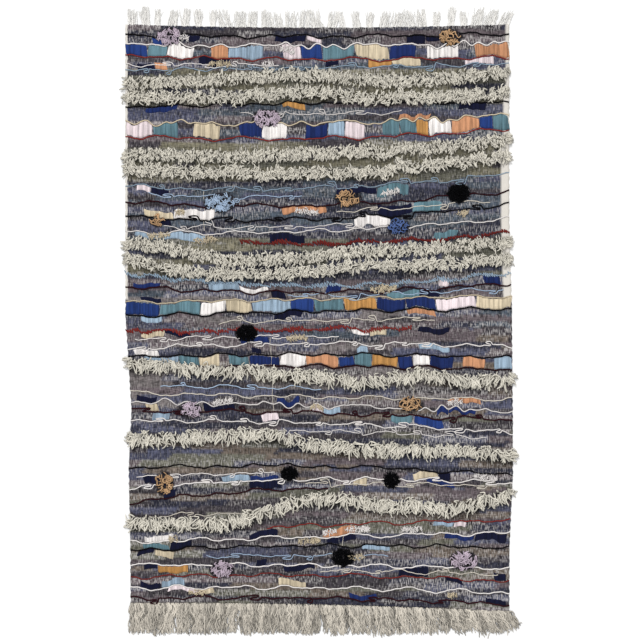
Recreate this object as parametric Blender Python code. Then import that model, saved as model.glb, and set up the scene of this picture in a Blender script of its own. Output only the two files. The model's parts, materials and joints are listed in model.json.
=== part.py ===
"""A flat-woven wool dhurrie laid out flat, with shag rows, hooked tufts, raised yarns and end fringes.

Metres, +Z up, and the floor is at Z 0. +Y runs towards the end with the thin pale fringe. A place on the
cloth is given as across, from its middle line to the right, and drop, down from its upper end. The whole
part is then moved so that the middle of its box stands on the origin.
"""

import math
import random
from typing import NamedTuple

import bmesh
import bpy
from mathutils import Vector

# The cloth.
CLOTH_LENGTH = 2.42
CLOTH_HALF_WIDTH = 0.80
CLOTH_THICK = 0.005
CLOTH_COLUMNS = 36
TOP_SAG = 0.014

# What touches keeps this gap.
GAP = 0.0003

# The raised outlining yarns, which flatten out before they reach a tuft.
RIB_HEIGHT = 0.0024
RIB_HALF_WIDTH = 0.004
RIB_CLEAR_ACROSS = 0.044
RIB_CLEAR_DROP = 0.014
RIB_RAMP = 0.03

# The shag rows and their locks. A lock's steps are its share of the lock's length, and its taper.
SHAG_END_OVERHANG = 0.012
SHOULDER_SHARE = 0.45
CROWN_SHARE = 0.55
LOCK_WIDTH = 0.012
LOCK_LEAN = 0.35
LOCK_STEPS = ((0.55, 0.80), (0.45, 0.55))
END_LOCK_TURN = -0.12

# The end fringes, each a strip with locks.
FRINGE_STRIP = 0.009
FRINGE_THICK = 0.004
FRINGE_TIP_THICK = 0.0025
FRINGE_SWAY = 0.12

# The hooked tufts. A level is a share of the tuft's radius, and a share of its height.
TUFT_SIDES = 12
TUFT_LEVELS = ((1.0, 0.0), (0.96, 0.5), (0.62, 0.92))


class EdgeStation(NamedTuple):
    """Where the cloth's two side edges run at one drop."""

    drop: float
    left: float
    right: float


class Bow(NamedTuple):
    """Drops at the cloth's left edge, middle and right edge."""

    left: float
    middle: float
    right: float


class Rib(NamedTuple):
    """A raised yarn from side to side: the bow it follows, and its wave about that."""

    bow: Bow
    wave: float
    pitch: float
    phase: float


class Pile(NamedTuple):
    """A kind of shag: its width and height, the locks along a row, and their length."""

    width: float
    height: float
    locks: int
    lock_length: float


class ShagRow(NamedTuple):
    """A row of shag, with locks along its upper rim, 1, or its lower, -1, and its drops at even stations."""

    name: str
    pile: Pile
    lock_side: int
    end_reach: float
    drops: tuple[float, ...]


class Tuft(NamedTuple):
    """A hooked tuft: its place, its width and length, how high it stands, and its yarn."""

    across: float
    drop: float
    width: float
    length: float
    height: float
    yarn: str


class Fringe(NamedTuple):
    """A row of fringe locks at the upper end, 1, or the lower, -1. Leans are to the right, as slopes."""

    name: str
    side: int
    locks: int
    shortest: float
    longest: float
    root_share: float
    tip_share: float
    lean_left: float
    lean_right: float


class Yarn(NamedTuple):
    """A material's colour and roughness."""

    colour: tuple[float, float, float]
    roughness: float


EDGES = (
    EdgeStation(drop=0.00, left=-0.804, right=0.790),
    EdgeStation(drop=1.12, left=-0.804, right=0.790),
    EdgeStation(drop=1.17, left=-0.804, right=0.801),
    EdgeStation(drop=1.40, left=-0.793, right=0.802),
    EdgeStation(drop=1.47, left=-0.780, right=0.801),
    EdgeStation(drop=1.69, left=-0.778, right=0.805),
    EdgeStation(drop=1.76, left=-0.789, right=0.806),
    EdgeStation(drop=1.87, left=-0.790, right=0.805),
    EdgeStation(drop=1.94, left=-0.788, right=0.794),
    EdgeStation(drop=2.10, left=-0.783, right=0.791),
    EdgeStation(drop=2.46, left=-0.782, right=0.790),
)

HEM = Bow(2.405, 2.413, 2.440)

RIBS = (
    Rib(Bow(0.046, 0.050, 0.041), wave=0.004, pitch=0.38, phase=0.3),
    Rib(Bow(0.133, 0.146, 0.137), wave=0.004, pitch=0.29, phase=1.9),
    Rib(Bow(0.415, 0.422, 0.386), wave=0.005, pitch=0.33, phase=4.1),
    Rib(Bow(0.738, 0.750, 0.692), wave=0.005, pitch=0.41, phase=2.6),
    Rib(Bow(0.862, 0.858, 0.806), wave=0.004, pitch=0.27, phase=5.2),
    Rib(Bow(1.213, 1.192, 1.182), wave=0.004, pitch=0.25, phase=0.8),
    Rib(Bow(1.347, 1.326, 1.339), wave=0.005, pitch=0.31, phase=3.3),
    Rib(Bow(1.605, 1.615, 1.645), wave=0.005, pitch=0.36, phase=5.9),
    Rib(Bow(1.845, 1.835, 1.875), wave=0.004, pitch=0.44, phase=1.2),
    Rib(Bow(2.185, 2.165, 2.175), wave=0.004, pitch=0.26, phase=4.6),
    Rib(Bow(2.245, 2.247, 2.259), wave=0.004, pitch=0.30, phase=0.1),
    Rib(Bow(2.296, 2.288, 2.313), wave=0.004, pitch=0.35, phase=2.2),
    Rib(Bow(2.385, 2.383, 2.408), wave=0.004, pitch=0.28, phase=3.9),
)

SHORT_PILE = Pile(width=0.046, height=0.016, locks=13, lock_length=0.012)
LONG_PILE = Pile(width=0.060, height=0.020, locks=24, lock_length=0.024)

SHAG_ROWS = (
    ShagRow(
        "shag_a1", SHORT_PILE, 1, 0.012,
        (0.245, 0.240, 0.230, 0.214, 0.211, 0.234, 0.234, 0.220, 0.203),
    ),
    ShagRow(
        "shag_a2", SHORT_PILE, -1, 0.018,
        (0.303, 0.303, 0.301, 0.290, 0.280, 0.309, 0.307, 0.296, 0.286),
    ),
    ShagRow(
        "shag_b1", SHORT_PILE, 1, 0.020,
        (0.545, 0.545, 0.549, 0.545, 0.535, 0.529, 0.518, 0.500, 0.477),
    ),
    ShagRow(
        "shag_b2", SHORT_PILE, -1, 0.020,
        (0.601, 0.611, 0.618, 0.622, 0.618, 0.616, 0.591, 0.568, 0.549),
    ),
    ShagRow(
        "shag_c1", SHORT_PILE, 1, 0.014,
        (0.910, 0.929, 0.972, 0.976, 0.964, 0.941, 0.935, 0.918, 0.906),
    ),
    ShagRow(
        "shag_c2", SHORT_PILE, -1, 0.022,
        (0.972, 1.018, 1.036, 1.036, 1.026, 1.003, 0.999, 0.991, 0.972),
    ),
    ShagRow(
        "shag_d", LONG_PILE, -1, 0.030,
        (1.413, 1.426, 1.443, 1.449, 1.467, 1.488, 1.459, 1.480, 1.480),
    ),
    ShagRow(
        "shag_e", LONG_PILE, -1, 0.038,
        (1.724, 1.720, 1.708, 1.704, 1.753, 1.764, 1.770, 1.770, 1.801),
    ),
    ShagRow(
        "shag_f", LONG_PILE, -1, 0.030,
        (2.077, 2.068, 2.077, 2.015, 1.969, 1.990, 2.004, 2.010, 1.948),
    ),
)

TUFTS = (
    Tuft(across=-0.62, drop=0.052, width=0.130, length=0.076, height=0.014, yarn="lilac"),
    Tuft(across=0.55, drop=0.056, width=0.110, length=0.076, height=0.014, yarn="tan"),
    Tuft(across=-0.22, drop=0.392, width=0.130, length=0.084, height=0.014, yarn="lilac"),
    Tuft(across=-0.41, drop=0.738, width=0.140, length=0.086, height=0.014, yarn="sky"),
    Tuft(across=0.12, drop=0.722, width=0.112, length=0.084, height=0.014, yarn="tan"),
    Tuft(across=0.58, drop=0.702, width=0.104, length=0.086, height=0.018, yarn="black"),
    Tuft(across=0.33, drop=0.842, width=0.110, length=0.070, height=0.014, yarn="blue"),
    Tuft(across=-0.67, drop=0.815, width=0.080, length=0.052, height=0.012, yarn="tan"),
    Tuft(across=-0.30, drop=1.282, width=0.100, length=0.084, height=0.018, yarn="black"),
    Tuft(across=0.38, drop=1.580, width=0.108, length=0.074, height=0.014, yarn="tan"),
    Tuft(across=-0.54, drop=1.604, width=0.112, length=0.080, height=0.014, yarn="lilac"),
    Tuft(across=0.30, drop=1.894, width=0.078, length=0.070, height=0.018, yarn="black"),
    Tuft(across=-0.64, drop=1.905, width=0.090, length=0.112, height=0.014, yarn="tan"),
    Tuft(across=-0.12, drop=1.866, width=0.078, length=0.072, height=0.018, yarn="black"),
    Tuft(across=0.10, drop=2.212, width=0.100, length=0.086, height=0.018, yarn="black"),
    Tuft(across=0.60, drop=2.226, width=0.136, length=0.090, height=0.014, yarn="lilac"),
    Tuft(across=-0.40, drop=2.262, width=0.118, length=0.082, height=0.014, yarn="lilac"),
)

FRINGES = (
    Fringe(
        "fringe_top", side=1, locks=36, shortest=0.046, longest=0.068,
        root_share=0.62, tip_share=0.26, lean_left=-0.06, lean_right=0.22,
    ),
    Fringe(
        "fringe_bottom", side=-1, locks=84, shortest=0.090, longest=0.112,
        root_share=0.74, tip_share=0.34, lean_left=0.0, lean_right=0.45,
    ),
)

YARNS = {
    "cloth": Yarn((0.075, 0.075, 0.105), 0.95),
    "shag": Yarn((0.61, 0.58, 0.46), 0.95),
    "fringe_top": Yarn((0.76, 0.74, 0.69), 0.95),
    "fringe_bottom": Yarn((0.49, 0.46, 0.39), 0.95),
    "lilac": Yarn((0.50, 0.42, 0.53), 0.95),
    "tan": Yarn((0.50, 0.34, 0.15), 0.95),
    "sky": Yarn((0.38, 0.47, 0.63), 0.95),
    "blue": Yarn((0.05, 0.10, 0.33), 0.95),
    "black": Yarn((0.006, 0.006, 0.010), 0.97),
}


def clear_scene():
    """Removes every object of the startup scene."""
    for obj in list(bpy.data.objects):
        bpy.data.objects.remove(obj)


def smooth_step(share):
    """A ramp from 0 to 1 with level ends."""
    share = min(1.0, max(0.0, share))
    return share * share * (3 - 2 * share)


def smooth_along(values, share):
    """Reads a smooth curve through evenly spaced values, at a share of its length."""
    spans = len(values) - 1
    place = min(max(share, 0.0), 1.0) * spans
    i = min(int(place), spans - 1)
    t = place - i
    before, start = values[max(i - 1, 0)], values[i]
    end, after = values[i + 1], values[min(i + 2, spans)]
    first_slope, last_slope = (end - before) / 2, (after - start) / 2
    return (
        (2 * t**3 - 3 * t**2 + 1) * start
        + (t**3 - 2 * t**2 + t) * first_slope
        + (3 * t**2 - 2 * t**3) * end
        + (t**3 - t**2) * last_slope
    )


def bowed(bow, across):
    """The drop at a place across, on a smooth line through a bow's three drops."""
    t = across / CLOTH_HALF_WIDTH
    return bow.middle + (bow.right - bow.left) / 2 * t + ((bow.left + bow.right) / 2 - bow.middle) * t * t


def edges_at(drop):
    """The left and right edge of the cloth at a drop."""
    for above, below in zip(EDGES, EDGES[1:]):
        if drop <= below.drop:
            t = smooth_step((drop - above.drop) / (below.drop - above.drop))
            return above.left + (below.left - above.left) * t, above.right + (below.right - above.right) * t
    return EDGES[-1].left, EDGES[-1].right


def top_drop(across):
    """The upper end of the cloth, which dips between its corners."""
    return TOP_SAG * (1 - (across / CLOTH_HALF_WIDTH) ** 2)


def hem_drop(across):
    """The lower end of the cloth, which runs down to the right."""
    return bowed(HEM, across)


def rib_share(across, drop):
    """How much of a rib's height is left here: none under a tuft."""
    share = 1.0
    for tuft in TUFTS:
        beside = abs(across - tuft.across) - tuft.width / 2 - RIB_CLEAR_ACROSS
        beyond = abs(drop - tuft.drop) - tuft.length / 2 - RIB_CLEAR_DROP
        share = min(share, smooth_step(max(beside, beyond) / RIB_RAMP))
    return share


def material_of(yarn_name):
    """The Principled material of a yarn, made once."""
    found = bpy.data.materials.get(yarn_name)
    if found:
        return found
    yarn = YARNS[yarn_name]
    material = bpy.data.materials.new(yarn_name)
    material.use_nodes = True
    shader = material.node_tree.nodes["Principled BSDF"]
    shader.inputs["Base Color"].default_value = (*yarn.colour, 1)
    shader.inputs["Roughness"].default_value = yarn.roughness
    shader.inputs["Metallic"].default_value = 0
    return material


def add_object(name, bm, yarn_name, parent):
    """Turns a bmesh into a named object with its material, under the part's empty."""
    bmesh.ops.recalc_face_normals(bm, faces=bm.faces)
    mesh = bpy.data.meshes.new(name)
    bm.to_mesh(mesh)
    bm.free()
    mesh.materials.append(material_of(yarn_name))
    obj = bpy.data.objects.new(name, mesh)
    bpy.context.scene.collection.objects.link(obj)
    obj.parent = parent
    return obj


def cloth_profile(across):
    """The face from the upper end to the hem at one place across, as drops and heights over the face."""
    points = [(top_drop(across), 0.0)]
    for rib in RIBS:
        middle = bowed(rib.bow, across) + rib.wave * math.sin(2 * math.pi * across / rib.pitch + rib.phase)
        points.append((middle - RIB_HALF_WIDTH, 0.0))
        points.append((middle, RIB_HEIGHT * rib_share(across, middle)))
        points.append((middle + RIB_HALF_WIDTH, 0.0))
    points.append((hem_drop(across), 0.0))
    return points


def build_cloth(parent):
    """The woven cloth: flat below, with the outlining yarns raised on its face."""
    bm = bmesh.new()
    columns = []
    for i in range(CLOTH_COLUMNS + 1):
        share = i / CLOTH_COLUMNS
        column = []
        for drop, height in cloth_profile((2 * share - 1) * CLOTH_HALF_WIDTH):
            left, right = edges_at(drop)
            column.append(bm.verts.new((left + (right - left) * share, -drop, CLOTH_THICK + height)))
        columns.append(column)
    for one, two in zip(columns, columns[1:]):
        for k in range(len(one) - 1):
            bm.faces.new((one[k], one[k + 1], two[k + 1], two[k]))
    upper_end, hem = [column[0] for column in columns], [column[-1] for column in columns]
    rim = upper_end + columns[-1][1:] + hem[-2::-1] + columns[0][-2:0:-1]
    floor = [bm.verts.new((vert.co.x, vert.co.y, 0.0)) for vert in rim]
    for i, vert in enumerate(rim):
        j = (i + 1) % len(rim)
        bm.faces.new((vert, rim[j], floor[j], floor[i]))
    bm.faces.new(floor)
    return add_object("cloth", bm, "cloth", parent)


def row_line(row, share):
    """A point on a shag row's middle line, and its direction to the right."""
    step = 0.01
    drop = smooth_along(row.drops, share)
    fall = smooth_along(row.drops, share + step) - smooth_along(row.drops, share - step)
    slope = fall / (4 * step * CLOTH_HALF_WIDTH)
    left, right = edges_at(drop)
    left -= SHAG_END_OVERHANG
    right += SHAG_END_OVERHANG
    return Vector((left + (right - left) * share, -drop, 0)), Vector((1, -slope, 0)).normalized()


def row_stations(row):
    """Shares along a shag row: a close pair at each lock's root, and the two ends."""
    half_root = LOCK_WIDTH / (4 * CLOTH_HALF_WIDTH)
    shares = [0.0]
    for i in range(row.pile.locks):
        middle = (i + 0.5) / row.pile.locks
        shares += [middle - half_root, middle + half_root]
    return shares + [1.0]


def row_ring(row, share, lumps):
    """The six points of a shag row's section, from its lower foot over the crown to its upper foot."""
    middle, along = row_line(row, share)
    side = Vector((-along.y, along.x, 0))
    half = row.pile.width / 2 * lumps.uniform(0.90, 1.0)
    height = row.pile.height * lumps.uniform(0.80, 1.0)
    base = CLOTH_THICK + GAP
    profile = (
        (-half, 0.0),
        (-half, height * SHOULDER_SHARE),
        (-half * CROWN_SHARE, height),
        (half * CROWN_SHARE, height * lumps.uniform(0.86, 1.0)),
        (half, height * SHOULDER_SHARE),
        (half, 0.0),
    )
    return [middle + side * off + Vector((0, 0, base + up)) for off, up in profile]


def grow_lock(bm, face, direction, length, rests):
    """Draws a tapering lock of yarn out of one face, which lies at the height in rests after each step."""
    for (share, taper), rest in zip(LOCK_STEPS, rests):
        face = bmesh.ops.extrude_discrete_faces(bm, faces=[face])["faces"][0]
        middle = face.calc_center_median()
        for vert in face.verts:
            vert.co = middle + (vert.co - middle) * taper + direction * (length * share)
        lowest = min(vert.co.z for vert in face.verts)
        for vert in face.verts:
            vert.co.z += rest - lowest


def build_shag_row(row, seed, parent):
    """One row of shag: a lumpy slab, with locks along one rim and one that droops off at each end."""
    lumps = random.Random(seed)
    bm = bmesh.new()
    rings = [[bm.verts.new(p) for p in row_ring(row, share, lumps)] for share in row_stations(row)]
    count = len(rings[0])
    lock_face = 0 if row.lock_side < 0 else count - 2
    roots = []
    for i, (one, two) in enumerate(zip(rings, rings[1:])):
        for k in range(count):
            m = (k + 1) % count
            face = bm.faces.new((one[k], two[k], two[m], one[m]))
            if i % 2 == 1 and k == lock_face:
                roots.append(face)
    left_end = bm.faces.new(rings[0])
    right_end = bm.faces.new(list(reversed(rings[-1])))
    bmesh.ops.recalc_face_normals(bm, faces=bm.faces)
    base = CLOTH_THICK + GAP
    for face in roots:
        direction = Vector((lumps.uniform(-LOCK_LEAN, LOCK_LEAN), row.lock_side, 0)).normalized()
        grow_lock(bm, face, direction, row.pile.lock_length * lumps.uniform(0.7, 1.0), (base, base))
    for face, turn in ((left_end, -1), (right_end, 1)):
        direction = Vector((turn, END_LOCK_TURN, 0)).normalized()
        grow_lock(bm, face, direction, row.end_reach, (base / 2, 0.0))
    return add_object(row.name, bm, "shag", parent)


def build_tuft(tuft, number, parent):
    """One hooked tuft as a lumpy mound with a ragged rim."""
    lumps = random.Random(100 + number)
    base = CLOTH_THICK + GAP
    rim = [lumps.uniform(0.84, 1.0) for _ in range(TUFT_SIDES)]
    bm = bmesh.new()
    rings = []
    for reach, up in TUFT_LEVELS:
        ring = []
        for i, share in enumerate(rim):
            turn = 2 * math.pi * i / TUFT_SIDES
            x = tuft.across + tuft.width / 2 * reach * share * math.cos(turn)
            y = -tuft.drop + tuft.length / 2 * reach * share * math.sin(turn)
            ring.append(bm.verts.new((x, y, base + tuft.height * up * lumps.uniform(0.8, 1))))
        rings.append(ring)
    crown = bm.verts.new((tuft.across, -tuft.drop, base + tuft.height))
    for i in range(TUFT_SIDES):
        j = (i + 1) % TUFT_SIDES
        for lower, upper in zip(rings, rings[1:]):
            bm.faces.new((lower[i], lower[j], upper[j], upper[i]))
        bm.faces.new((rings[-1][i], rings[-1][j], crown))
    bm.faces.new(list(reversed(rings[0])))
    return add_object(f"tuft_{number:02d}", bm, tuft.yarn, parent)


def fringe_outline(fringe):
    """The fringe's plan, as points with a thickness: a strip along the cloth's end, with locks as fingers."""
    spread = random.Random(fringe.name)
    end_drop = top_drop if fringe.side > 0 else hem_drop
    left, right = edges_at(0.0 if fringe.side > 0 else CLOTH_LENGTH)
    pitch = (right - left) / fringe.locks

    def point(x, out, thick):
        across = (2 * (x - left) / (right - left) - 1) * CLOTH_HALF_WIDTH
        return x, -end_drop(across) + fringe.side * (GAP + out), thick

    outline = [point(left, FRINGE_STRIP, FRINGE_THICK)]
    for i in range(fringe.locks):
        share = (i + 0.5) / fringe.locks
        middle = left + pitch * (i + 0.5)
        root = pitch * fringe.root_share / 2 * spread.uniform(0.85, 1.0)
        tip = pitch * fringe.tip_share / 2
        waist = (root + tip) / 2
        length = spread.uniform(fringe.shortest, fringe.longest)
        lean = (fringe.lean_left + (fringe.lean_right - fringe.lean_left) * share**3) * length
        sway = spread.uniform(-FRINGE_SWAY, FRINGE_SWAY) * pitch
        outline += [
            point(middle - root, FRINGE_STRIP, FRINGE_THICK),
            point(middle + sway + lean * 0.4 - waist, FRINGE_STRIP + length * 0.5, FRINGE_THICK),
            point(middle + sway + lean - tip, FRINGE_STRIP + length, FRINGE_TIP_THICK),
            point(middle + sway + lean + tip, FRINGE_STRIP + length, FRINGE_TIP_THICK),
            point(middle + sway + lean * 0.4 + waist, FRINGE_STRIP + length * 0.5, FRINGE_THICK),
            point(middle + root, FRINGE_STRIP, FRINGE_THICK),
        ]
    outline.append(point(right, FRINGE_STRIP, FRINGE_THICK))
    for i in range(CLOTH_COLUMNS + 1):
        outline.append(point(right + (left - right) * i / CLOTH_COLUMNS, 0.0, FRINGE_THICK))
    return outline


def build_fringe(fringe, parent):
    """One end fringe: its plan, raised from the floor to its own thickness."""
    bm = bmesh.new()
    outline = fringe_outline(fringe)
    under = [bm.verts.new((x, y, 0.0)) for x, y, _ in outline]
    over = [bm.verts.new(point) for point in outline]
    bm.faces.new(under)
    bm.faces.new(list(reversed(over)))
    for i in range(len(outline)):
        j = (i + 1) % len(outline)
        bm.faces.new((under[i], under[j], over[j], over[i]))
    return add_object(fringe.name, bm, fringe.name, parent)


def centre_on_origin(parent, objects):
    """Moves the part so that the middle of its box stands over the origin."""
    points = [vert.co for obj in objects for vert in obj.data.vertices]
    for axis in (0, 1):
        values = [point[axis] for point in points]
        parent.location[axis] = -(min(values) + max(values)) / 2


def main():
    """Builds the whole dhurrie."""
    clear_scene()
    dhurrie = bpy.data.objects.new("dhurrie", None)
    bpy.context.scene.collection.objects.link(dhurrie)
    objects = [build_cloth(dhurrie)]
    objects += [build_shag_row(row, seed, dhurrie) for seed, row in enumerate(SHAG_ROWS)]
    objects += [build_tuft(tuft, number, dhurrie) for number, tuft in enumerate(TUFTS, 1)]
    objects += [build_fringe(fringe, dhurrie) for fringe in FRINGES]
    centre_on_origin(dhurrie, objects)
    bpy.context.view_layer.update()


main()
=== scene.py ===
"""The looks of a flat-woven wool dhurrie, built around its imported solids.

Metres, +Z up, floor at Z 0, and +Y towards the end with the thin pale fringe. A place on the cloth is given
as share, from 0 at the left selvage to 1 at the right, and drop, down from the upper end. The cloth's plan,
the shag rows and the tufts are read from the frame, and the woven layout is made from short tables and
fixed seeds.
"""

import json
import logging
import math
import random
from collections.abc import Callable, Sequence
from dataclasses import dataclass, field
from enum import Enum
from typing import NamedTuple

import bpy
import numpy as np
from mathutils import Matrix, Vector

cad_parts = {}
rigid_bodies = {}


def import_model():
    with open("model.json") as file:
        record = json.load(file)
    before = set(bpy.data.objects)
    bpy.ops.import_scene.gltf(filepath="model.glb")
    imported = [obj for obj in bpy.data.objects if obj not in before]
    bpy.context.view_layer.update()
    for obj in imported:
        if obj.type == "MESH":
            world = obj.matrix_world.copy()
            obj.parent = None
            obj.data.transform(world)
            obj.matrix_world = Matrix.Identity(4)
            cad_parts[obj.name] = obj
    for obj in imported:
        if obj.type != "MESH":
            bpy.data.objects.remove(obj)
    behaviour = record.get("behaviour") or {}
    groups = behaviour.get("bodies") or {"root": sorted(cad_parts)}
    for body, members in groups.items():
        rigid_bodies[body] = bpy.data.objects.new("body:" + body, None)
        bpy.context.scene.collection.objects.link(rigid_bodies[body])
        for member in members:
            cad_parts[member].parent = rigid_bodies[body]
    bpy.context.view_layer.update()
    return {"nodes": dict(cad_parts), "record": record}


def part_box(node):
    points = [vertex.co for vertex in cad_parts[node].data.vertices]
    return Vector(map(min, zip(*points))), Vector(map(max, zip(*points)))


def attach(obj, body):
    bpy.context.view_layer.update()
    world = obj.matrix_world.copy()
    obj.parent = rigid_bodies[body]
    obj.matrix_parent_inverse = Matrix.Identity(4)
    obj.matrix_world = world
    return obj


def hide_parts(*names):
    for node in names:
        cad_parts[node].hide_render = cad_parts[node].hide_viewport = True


LOG = logging.getLogger("dhurrie")

BODY = "root"

# The size that the bows of the woven courses are measured on, from the middle line to a selvage.
HALF_WIDTH = 0.80

# The photograph's frame: its side in pixels, the size of one pixel, and the row and the column where the
# cloth begins.
PHOTO_SIDE_PX = 640
METRES_PER_PX = 0.004156
CLOTH_TOP_PX = 24.5
CLOTH_LEFT_PX = 125.5

# Indices of a colour Mix node's sockets, which share their names with its other kinds.
MIX_FACTOR, MIX_A, MIX_B, MIX_RESULT = 0, 6, 7, 2

Colour = tuple[float, float, float]
Number = "Socket | float | int"


def linear(srgb: Sequence[int]) -> Colour:
    """Turns an sRGB colour into a linear one.

    Args:
        srgb: red, green and blue from 0 to 255.

    Returns:
        The colour as three linear values.
    """
    values = [channel / 255 for channel in srgb]
    return tuple(v / 12.92 if v <= 0.04045 else ((v + 0.055) / 1.055) ** 2.4 for v in values)


def shade(colour: Colour, amount: float) -> Colour:
    """Returns a colour made darker or lighter, up to white."""
    return tuple(min(1.0, channel * amount) for channel in colour)


class Dye(Enum):
    """The colours of the yarns, in sRGB."""

    INK = (13, 16, 42)
    NAVY = (25, 40, 88)
    COBALT = (32, 54, 110)
    TEAL = (90, 120, 130)
    PALE_BLUE = (142, 162, 180)
    OCHRE = (182, 134, 78)
    APRICOT = (186, 134, 100)
    CREAM = (196, 182, 156)
    WHITE = (222, 217, 214)
    ROSE_WHITE = (216, 202, 205)
    RUST = (122, 42, 38)
    MAROON = (43, 15, 22)
    BLACK = (12, 9, 14)
    IVORY = (216, 211, 198)
    GREIGE = (197, 190, 178)
    CHALK = (240, 238, 234)
    LILAC = (192, 176, 190)
    TAN = (190, 154, 116)
    SKY = (164, 184, 208)
    BLUE = (84, 106, 156)
    COAL = (6, 6, 9)


class Tint(Enum):
    """The colours of the plain ground's weft, and of the painted shade under the tufts, in sRGB."""

    DUSK = (88, 79, 83)
    SLATE = (70, 72, 90)
    STEEL = (66, 74, 84)
    NIGHT = (44, 45, 58)
    CHARCOAL = (56, 52, 57)
    # Painted shade, not a weft colour: the cloth under the tufts is painted this dark.
    SOOT = (30, 27, 33)
    ASH = (104, 98, 98)
    TAUPE = (98, 88, 80)
    SAGE = (89, 88, 78)
    OLIVE = (106, 102, 86)


class Lie(Enum):
    """How an outlining yarn wanders along its course."""

    WAVY = "wavy"
    ZIGZAG = "zigzag"
    HOOKED = "hooked"
    SCRIBBLED = "scribbled"


class Socket:
    """An output of a node, which adds Math or Vector Math nodes when it is used in a sum or product."""

    def __init__(self, graph: "Graph", out: bpy.types.NodeSocket) -> None:
        """Keeps the graph and the output socket."""
        self.graph = graph
        self.out = out

    @property
    def is_vector(self) -> bool:
        """Whether the socket carries a vector."""
        return self.out.type == "VECTOR"

    def _combine(self, operation: str, first: Number, second: Number) -> "Socket":
        """Adds the node for one operation on numbers or on vectors."""
        vectors = [isinstance(v, Socket) and v.is_vector for v in (first, second)]
        if all(vectors):
            return self.graph.vector(operation, first, second)
        if any(vectors):
            vector, scale = (first, second) if vectors[0] else (second, first)
            settings = {"operation": "SCALE"}
            return self.graph.get("ShaderNodeVectorMath", settings, {0: vector, "Scale": scale})
        return self.graph.math(operation, first, second)

    def __add__(self, other: Number) -> "Socket":
        """Adds."""
        return self._combine("ADD", self, other)

    def __radd__(self, other: Number) -> "Socket":
        """Adds, from the right."""
        return self._combine("ADD", other, self)

    def __sub__(self, other: Number) -> "Socket":
        """Subtracts."""
        return self._combine("SUBTRACT", self, other)

    def __rsub__(self, other: Number) -> "Socket":
        """Subtracts, from the right."""
        return self._combine("SUBTRACT", other, self)

    def __mul__(self, other: Number) -> "Socket":
        """Multiplies, and scales a vector by a number."""
        return self._combine("MULTIPLY", self, other)

    def __rmul__(self, other: Number) -> "Socket":
        """Multiplies, from the right."""
        return self._combine("MULTIPLY", other, self)


class Graph:
    """A shader or geometry node tree that is being built."""

    def __init__(self, tree: bpy.types.NodeTree) -> None:
        """Keeps the tree."""
        self.tree = tree

    def add(self, kind: str, settings: dict | None = None, sockets: dict | None = None) -> bpy.types.Node:
        """Adds one node.

        Args:
            kind: the node's type name.
            settings: the node's properties, or stops for a colour ramp, which are set first.
            sockets: a value or a Socket for each input, by its name or index.

        Returns:
            The new node.
        """
        node = self.tree.nodes.new(kind)
        for name, value in (settings or {}).items():
            if name == "stops":
                self._set_stops(node.color_ramp, value)
            else:
                setattr(node, name, value)
        for key, value in (sockets or {}).items():
            if isinstance(value, Socket):
                self.tree.links.new(value.out, node.inputs[key])
            else:
                node.inputs[key].default_value = value
        return node

    def get(
        self, kind: str, settings: dict | None = None, sockets: dict | None = None, out: int | str = 0
    ) -> Socket:
        """Adds one node and returns one of its outputs."""
        return Socket(self, self.add(kind, settings, sockets).outputs[out])

    def math(self, operation: str, *values: Number) -> Socket:
        """Adds a Math node."""
        return self.get("ShaderNodeMath", {"operation": operation}, dict(enumerate(values)))

    def vector(self, operation: str, *values: Number) -> Socket:
        """Adds a Vector Math node."""
        return self.get("ShaderNodeVectorMath", {"operation": operation}, dict(enumerate(values)))

    def join(self, x: Number, y: Number, z: Number) -> Socket:
        """Makes a vector of three numbers."""
        return self.get("ShaderNodeCombineXYZ", sockets={"X": x, "Y": y, "Z": z})

    def split(self, vector: Socket) -> tuple[Socket, Socket, Socket]:
        """Returns a vector's three numbers."""
        node = self.add("ShaderNodeSeparateXYZ", sockets={0: vector})
        return tuple(Socket(self, out) for out in node.outputs)

    @staticmethod
    def _set_stops(ramp: bpy.types.ColorRamp, stops: Sequence[tuple[float, float]]) -> None:
        """Gives a ramp its stops, as places and grey levels."""
        while len(ramp.elements) < len(stops):
            ramp.elements.new(0.5)
        for element, (place, level) in zip(ramp.elements, stops):
            element.position = place
            element.color = (level, level, level, 1)


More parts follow.
